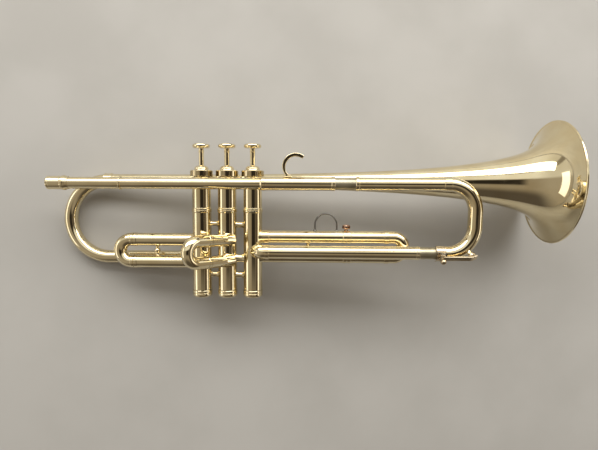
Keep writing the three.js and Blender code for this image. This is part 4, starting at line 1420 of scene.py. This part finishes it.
@dataclass
class ValveSlide:
    """A valve slide that lies along X: two fixed tubes and a bow that slides in them."""

    name: str
    body: Body
    valve: int
    upper_y: float
    lower_y: float
    seam_x: float
    bow_x: float
    leg_reach: float
    ring_x: float | None = None
    radius: float = 6.3
    bore: float = 5.9
    leg_radius: float = 5.6
    leg_bore: float = 5.15
    foot: float = 8.2
    mouth: float = 3.0
    longest_ferrule: float = 3.6

    @property
    def way(self) -> int:
        """+1 when the slide points to the bell, -1 when it points to the player."""
        return 1 if self.bow_x > self.seam_x else -1

    def build(self, bench: Workbench) -> None:
        """Makes the slide's pieces.

        Args:
            bench: the workbench.
        """
        valves = Valves()
        casing_x = valves.axis_x(self.valve)
        for level, y in (("upper", self.upper_y), ("lower", self.lower_y)):
            start = (casing_x + self.way * self.foot, y, 0)
            run = TubeRun(start, (self.way, 0, 0), self.radius + 0.8, self.bore)
            run.straight(1.6, self.radius + 0.2).straight(1.0, self.radius)
            plain = abs(self.seam_x - casing_x) - self.foot - 1.6 - 1.0 - 0.4 - self.mouth - GAP
            run.straight(plain, self.radius)
            run.straight(0.4, self.radius + 0.35).straight(self.mouth, self.radius + 0.35)
            run.cope(run.first, Vector((-self.way, 0, 0)), casing_x, valves.radius - SOLDER)
            name = f"{self.name}_{level}_sleeve"
            bench.piece(run.rounded(0.1), name, Body.TRUMPET, LACQUER, [f"{self.name}_{level}_tube"])
        bend = (self.upper_y - self.lower_y) / 2
        start = (self.seam_x + 0.2 * self.way, self.upper_y, 0)
        run = TubeRun(start, (self.way, 0, 0), self.radius + 0.3, self.leg_bore)
        straight = abs(self.bow_x - self.seam_x) - 0.2 - bend
        ferrule = min(self.longest_ferrule, straight - 2 * GAP)
        plain = straight - ferrule - 0.3
        run.straight(ferrule).straight(0.3, self.radius).straight(plain)
        run.bend(bend, (0, -1, 0), math.pi, 32)
        run.straight(plain).straight(0.3, self.radius + 0.3).straight(ferrule)
        parts = [run.rounded(0.1)]
        for y in (self.upper_y, self.lower_y):
            near, far = sorted((self.leg_reach, self.seam_x + 0.5 * self.way))
            leg = turned([
                (near, self.leg_bore), (near, self.leg_radius), (far, self.leg_radius), (far, self.leg_bore),
            ], 0.1)
            parts.append(place(leg, (0, y, 0)))
            if self.ring_x is not None:
                ring = turned([
                    (-2.4, self.radius + 0.02), (-2.2, self.radius + 0.45), (2.2, self.radius + 0.45),
                    (2.4, self.radius + 0.02),
                ], 0.1)
                parts.append(place(ring, (self.ring_x, y, 0)))
        bench.piece(join(*parts), f"{self.name}_crook", self.body, LACQUER, [f"{self.name}_bow"])


@dataclass
class TubeStrut:
    """A strut between the two tubes of a valve slide, with a turned knob."""

    name: str
    x: float
    upper_y: float
    lower_y: float
    knob_y: float
    replaces: Sequence[str] = ()
    tube: float = 6.3

    def build(self, bench: Workbench) -> None:
        """Makes the strut.

        Args:
            bench: the workbench.
        """
        low = self.lower_y + self.tube - 0.1 - self.knob_y
        high = self.upper_y - self.tube + 0.1 - self.knob_y
        strut = turned([
            (low, 0), (low, 2.4), (low + 0.4, 2.2), (low + 0.9, 1.5), (-2.2, 1.5), (-1.8, 2.2), (-0.8, 2.85),
            (0.8, 2.85), (1.8, 2.2), (2.2, 1.5), (high - 0.9, 1.5), (high - 0.4, 2.2), (high, 2.4), (high, 0),
        ], 0.12, 40)
        place(strut, (self.x, self.knob_y, 0), Axis.UP)
        bench.piece(strut, self.name, Body.TRUMPET, LACQUER, self.replaces)


@dataclass
class CasingFerrule:
    """The plain ferrule on the third slide's upper tube, beside valve 3."""

    span: Span = (35.2, 41.8)
    y: float = -52.1
    tube: float = 6.3

    def build(self, bench: Workbench) -> None:
        """Makes the ferrule.

        Args:
            bench: the workbench.
        """
        start, end = self.span
        ferrule = turned([
            (start, self.tube + 0.02), (start, self.tube + 0.5), (end - 0.4, self.tube + 0.5),
            (end, self.tube + 0.02),
        ], 0.12)
        bench.piece(place(ferrule, (0, self.y, 0)), "third_slide_ferrule", Body.TRUMPET, LACQUER)


@dataclass
class SecondSlide:
    """The short second slide, which leans out to the right from valve 2."""

    spacing: float = 20.2
    base: Point = (1.0, -65.1, 8.0)
    lean: float = math.radians(40)
    rise: float = math.radians(2.6)
    seam: float = 22.0
    length: float = 46.0
    radius: float = 5.9
    bore: float = 5.5
    leg_radius: float = 5.2
    leg_bore: float = 4.75

    @property
    def out(self) -> Vector:
        """The direction that the slide's legs point in."""
        flat = math.cos(self.rise)
        return Vector((-math.sin(self.lean) * flat, math.sin(self.rise), math.cos(self.lean) * flat))

    @property
    def up(self) -> Vector:
        """The direction from the lower leg to the upper leg."""
        risen = math.sin(self.rise)
        return Vector((math.sin(self.lean) * risen, math.cos(self.rise), -math.cos(self.lean) * risen))

    def build(self, bench: Workbench) -> None:
        """Makes the slide's pieces.

        Args:
            bench: the workbench.
        """
        valves = Valves()
        half = self.spacing / 2
        base = Vector(self.base)
        for level, side in (("upper", 1), ("lower", -1)):
            start = base + self.up * (side * half) + self.out * 2.0
            run = TubeRun(start, self.out, self.radius + 0.9, self.bore)
            run.straight(1.4, self.radius + 0.25).straight(1.0, self.radius)
            run.straight(self.seam - GAP - 2.0 - 2.4 - 2.8, self.radius)
            run.straight(0.3, self.radius + 0.3).straight(2.5, self.radius + 0.3)
            run.cope(run.first, -self.out, valves.axis_x(2), valves.radius - SOLDER)
            name = f"second_slide_{level}_sleeve"
            bench.piece(run.rounded(0.1), name, Body.TRUMPET, LACQUER, [f"second_slide_{level}_tube"])
        start = base + self.up * half + self.out * self.seam
        run = TubeRun(start, self.out, self.radius + 0.25, self.leg_bore)
        straight = self.length - self.seam - half
        run.straight(2.4).straight(0.3, self.radius).straight(straight - 2.7)
        run.bend(half, -self.up, math.pi, 32)
        run.straight(straight - 2.7).straight(0.3, self.radius + 0.25).straight(2.4)
        parts = [run.rounded(0.1)]
        for side in (1, -1):
            start = base + self.up * (side * half) + self.out * 6.0
            leg = TubeRun(start, self.out, self.leg_radius, self.leg_bore)
            parts.append(leg.straight(self.seam - 5.5).rounded(0.1))
        bench.piece(join(*parts), "second_slide_crook", Body.SECOND_SLIDE, LACQUER, ["second_slide_bow"])


# ---------------------------------------------------------------- braces and holds


@dataclass
class Braces:
    """The two braces between the leadpipe line and the bell's stem."""

    lead_z: float = 15.9
    places: Sequence[tuple[str, float, float]] = (("rear_brace", -92.0, 5.65), ("front_brace", 78.0, 6.45))

    def build(self, bench: Workbench) -> None:
        """Makes the braces.

        Args:
            bench: the workbench.
        """
        bell = Bell()
        for name, x, lead_radius in self.places:
            top = Vector((x, 0.4, self.lead_z - lead_radius + 0.15))
            bottom = Vector((x, bell.y - 0.4, bell.z + bell.radius(bell.rim_x - x) - 0.15))
            length = (top - bottom).length
            middle = length / 2
            brace = turned([
                (0, 0), (0, 4.4), (0.9, 4.2), (1.6, 2.4), (2.6, 1.75), (middle - 3.2, 1.6),
                (middle - 2.4, 2.1), (middle - 1.2, 2.7), (middle + 1.2, 2.7), (middle + 2.4, 2.1),
                (middle + 3.2, 1.6),
                (length - 2.6, 1.75), (length - 1.6, 2.4), (length - 0.9, 4.2), (length, 4.4), (length, 0),
            ], 0.15, 40)
            way = (top - bottom).to_track_quat("X", "Z").to_matrix().to_4x4()
            brace.transform(Matrix.Translation(bottom) @ way)
            bench.piece(brace, f"{name}_turned", Body.TRUMPET, LACQUER, [name])


@dataclass
class Holds:
    """The little-finger hook, the third slide's finger loop and the lyre screw."""

    lead_z: float = 15.9
    hook_centre: Span = (67.9, 15.9)
    hook_radius: float = 11.2
    hook_start: float = math.radians(228)
    hook_end: float = math.radians(50)
    hook_width: float = 7.9
    hook_thickness: float = 3.5
    ring_x: float = 97.3
    ring_y: float = -39.8
    ring_radius: float = 10.7
    ring_wire: float = 0.9
    third_y: float = -52.1
    third_radius: float = 6.3
    lyre_x: float = 117.4

    def build(self, bench: Workbench) -> None:
        """Makes the holds.

        Args:
            bench: the workbench.
        """
        self._hook(bench)
        self._loop(bench)
        self._lyre(bench)

    def _hook(self, bench: Workbench) -> None:
        """The hook: a half circle of thick strip, thinner at its foot, that curls over towards the bell."""
        centre = Vector((*self.hook_centre, self.lead_z))
        start = self.hook_start
        foot = centre + Vector((math.cos(start), math.sin(start), 0)) * self.hook_radius
        heading = Vector((math.sin(start), -math.cos(start), 0))
        run = StripRun(foot, heading, self.hook_thickness, self.hook_width)
        run.bend(self.hook_radius, start - self.hook_end, (0, 0, -1), 40)
        for vert in run.work.verts:
            offset = Vector((vert.co.x - centre.x, vert.co.y - centre.y))
            risen = (start - math.atan2(offset.y, offset.x) % FULL_TURN) / (start - self.hook_end)
            share = 0.68 + 0.32 * min(max(2.2 * risen, 0.0), 1.0)
            distance = self.hook_radius + (offset.length - self.hook_radius) * share
            offset *= distance / offset.length
            vert.co.x, vert.co.y = centre.x + offset.x, centre.y + offset.y
        pad = bmesh.new()
        bmesh.ops.create_cube(pad, size=1.0)
        bmesh.ops.scale(pad, vec=(6.6, 1.5, 7.0), verts=pad.verts[:])
        ease(pad, pad.edges[:], 0.5)
        place(pad, (foot.x + 0.2, foot.y - 0.2, self.lead_z))
        bench.piece(join(run.rounded(0.7), pad), "finger_hook", Body.TRUMPET, LACQUER, ["pinky_hook"])

    def _loop(self, bench: Workbench) -> None:
        """The wire loop that the ring finger pulls the third slide with, on two small feet."""
        foot = self.third_y + self.third_radius - 0.1
        rise = self.ring_y - foot
        left = self.ring_x - self.ring_radius
        run = TubeRun((left, foot, 0), (0, 1, 0), self.ring_wire, sides=20)
        run.straight(rise).bend(self.ring_radius, (1, 0, 0), math.pi, 36).straight(rise)
        parts = [run.rounded(0.1)]
        for side in (-1, 1):
            pad = turned([(0, 0), (0, 2.0), (0.5, 1.8), (1.1, 1.05), (1.1, 0)], 0.1, 24)
            parts.append(place(pad, (self.ring_x + side * self.ring_radius, foot + 0.05, 0), Axis.UP))
        bench.piece(join(*parts), "finger_loop", Body.TRUMPET, STEEL, ["finger_ring"])

    def _lyre(self, bench: Workbench) -> None:
        """The lyre screw: a boss on the tube, and a knurled head with a slot."""
        foot = self.third_y + self.third_radius + 0.33
        screw = turned([
            (0, 0), (0, 2.0), (0.8, 1.8), (1.1, 1.5), (1.4, 1.5), (1.7, 3.3), (2.2, 3.9), (4.8, 3.9),
            (5.5, 3.4), (6.05, 2.0), (6.1, 0),
        ], 0.12, 56)
        knurl(screw, 3.9, (2.2, 4.8), 0.25)
        place(screw, (self.lyre_x, foot, 0), Axis.UP)
        bench.piece(screw, "lyre_screw_turned", Body.TRUMPET, BRONZE, ["lyre_screw"])


# ---------------------------------------------------------------- studio


@dataclass(frozen=True)
class SoftBox:
    """A soft light: a glowing panel that faces the trumpet."""

    name: str
    at: Point
    size: tuple[float, float]
    power: float
    tint: Colour

    def build(self, aim: Vector) -> None:
        """Hangs the light.

        Args:
            aim: the point that it faces.
        """
        lamp = bpy.data.lights.new(self.name, "AREA")
        lamp.shape = "RECTANGLE"
        lamp.size, lamp.size_y = self.size
        lamp.energy = self.power
        lamp.color = self.tint
        holder = bpy.data.objects.new(self.name, lamp)
        holder.location = self.at
        holder.rotation_euler = (aim - Vector(self.at)).to_track_quat("-Z", "Y").to_euler()
        bpy.context.scene.collection.objects.link(holder)


@dataclass
class Studio:
    """Pale floor, soft light and the camera over the trumpet."""

    focal: float = 448.06
    image_width: int = 598
    sensor: float = 36.0
    tilt: Point = (0.078, -0.02, -0.005)
    offset: Point = (-70.669, 40.688, -440.512)
    floor_size: float = 3.0
    wall: Colour = (0.32, 0.275, 0.215)
    window: Colour = (0.90, 0.88, 0.82)
    frame: Colour = (0.07, 0.052, 0.038)
    dusk: Colour = (0.09, 0.075, 0.06)
    ceiling: Colour = (0.46, 0.42, 0.35)
    overhead: Colour = (0.028, 0.023, 0.018)
    backdrop: Colour = (0.45, 0.435, 0.41)
    boxes: Sequence[SoftBox] = field(default_factory=lambda: (
        SoftBox("window_box", (0.1, 1.15, 1.0), (3.4, 0.8), 40.0, (1.0, 0.985, 0.95)),
        SoftBox("player_box", (-1.5, -0.1, 0.45), (1.2, 0.5), 2.4, (1.0, 0.97, 0.93)),
        SoftBox("bell_box", (1.5, -0.2, 0.55), (0.9, 0.3), 1.4, (1.0, 0.95, 0.88)),
    ))

    def build(self, bench: Workbench) -> None:
        """Makes the floor, the lights and the camera.

        Args:
            bench: the workbench.
        """
        self._floor()
        self._world()
        aim = Vector((0, 0, 0.03))
        for box in self.boxes:
            box.build(aim)
        self._camera(bench.axes)
        view = bpy.context.scene.view_settings
        view.view_transform = "Standard"
        view.exposure = 0.0

    def _floor(self) -> None:
        """The floor under the trumpet."""
        work = bmesh.new()
        bmesh.ops.create_grid(work, x_segments=8, y_segments=8, size=self.floor_size)
        mesh = bpy.data.meshes.new("studio_floor")
        work.to_mesh(mesh)
        work.free()
        mesh.materials.append(FloorFinish("floor_finish", Slot.PEARL).material())
        floor = bpy.data.objects.new("studio_floor", mesh)
        bpy.context.scene.collection.objects.link(floor)

    def _world(self) -> None:
        """The room that the brass mirrors, with a dark patch overhead, and a pale backdrop for the camera."""
        board = WorldBoard("studio_room")
        bpy.context.scene.world = board.world
        direction = board.add("TexCoord").outputs["Generated"]
        x, y, _ = board.add("SeparateXYZ", Vector=direction).outputs
        room = board.blend(board.between(y, (0.08, 0.20), (0, 1)), self.wall, self.window)
        frame_edge = self._band(board, y, (0.50, 0.55), (0.62, 0.67))
        room = board.blend(frame_edge, room, self.frame)
        room = board.blend(board.between(y, (-0.85, -0.45), (1, 0)), room, self.dusk)
        room = board.blend(board.between(x, (-0.75, -0.30), (0.5, 0)), room, self.ceiling)
        along = self._band(board, x, (-0.30, -0.16), (0.40, 0.60))
        across = self._band(board, y, (-0.36, -0.20), (0.05, 0.15))
        room = board.blend(board.multiply(along, across), room, self.overhead)
        room = board.blend(self._band(board, x, (0.52, 0.60), (0.74, 0.82)), room, self.frame)
        backdrop = board.add("Background", Color=(*self.backdrop, 1.0))
        lit = board.add("Background", Color=room)
        seen = board.add("LightPath").outputs["Is Camera Ray"]
        mix = board.add("MixShader")
        for socket, value in zip(mix.inputs, (seen, lit.outputs[0], backdrop.outputs[0])):
            board.put(socket, value)
        board.put(board.tree.nodes["World Output"].inputs["Surface"], mix.outputs[0])

    def _band(
        self, board: NodeBoard, value: Socket, rise: Span, fall: Span,
    ) -> Socket:
        """A soft band: 1 between the end of its rise and the start of its fall.

        Args:
            board: the world's nodes.
            value: the direction's share along one axis.
            rise: where the band starts and is full.
            fall: where it starts to fade and where it ends.

        Returns:
            The band's strength.
        """
        return board.multiply(board.between(value, rise, (0, 1)), board.between(value, fall, (1, 0)))

    def _camera(self, axes: TrumpetAxes) -> None:
        """The camera: over the trumpet, looking down its right-hand side.

        Args:
            axes: where the instrument lies.
        """
        turn = Matrix.Identity(3)
        for angle, axis in zip(self.tilt, "XYZ"):
            turn = turn @ Matrix.Rotation(angle, 3, axis)
        place_in_axes = turn.transposed() @ -Vector(self.offset)
        lens = bpy.data.cameras.new("studio_camera")
        lens.sensor_width = self.sensor
        lens.lens = self.focal / self.image_width * self.sensor
        lens.clip_start = 0.01
        camera = bpy.data.objects.new("studio_camera", lens)
        facing = (axes.turn @ turn.transposed()).to_4x4()
        camera.matrix_world = Matrix.Translation(axes.to_world @ place_in_axes) @ facing
        bpy.context.scene.collection.objects.link(camera)
        bpy.context.scene.camera = camera


def main() -> None:
    """Builds the trumpet and the studio, and logs how many pieces were made."""
    logging.basicConfig(level=logging.INFO, format="%(name)s: %(message)s")
    bench = Workbench(TrumpetAxes.shared())
    parts = (
        Valves(),
        LeadpipeLine(),
        MainTuningSlide(),
        WaterKey(),
        Bell(),
        ValveSlide("first_slide", Body.FIRST_SLIDE, 1, -55.5, -77.5, -93.0, -107.2, -52.0),
        TubeStrut("first_slide_brace", -70.0, -55.5, -77.5, -66.5, ("first_slide_strut",)),
        SecondSlide(),
        ValveSlide("third_slide", Body.THIRD_SLIDE, 3, -52.1, -71.5, 117.9, 173.6, 62.0, 156.7),
        TubeStrut("third_slide_brace", 80.0, -52.1, -71.5, -61.8),
        CasingFerrule(),
        Braces(),
        Holds(),
        Studio(),
    )
    for part in parts:
        part.build(bench)
    log.info("%d pieces made", bench.count)


if __name__ == "__main__":
    main()
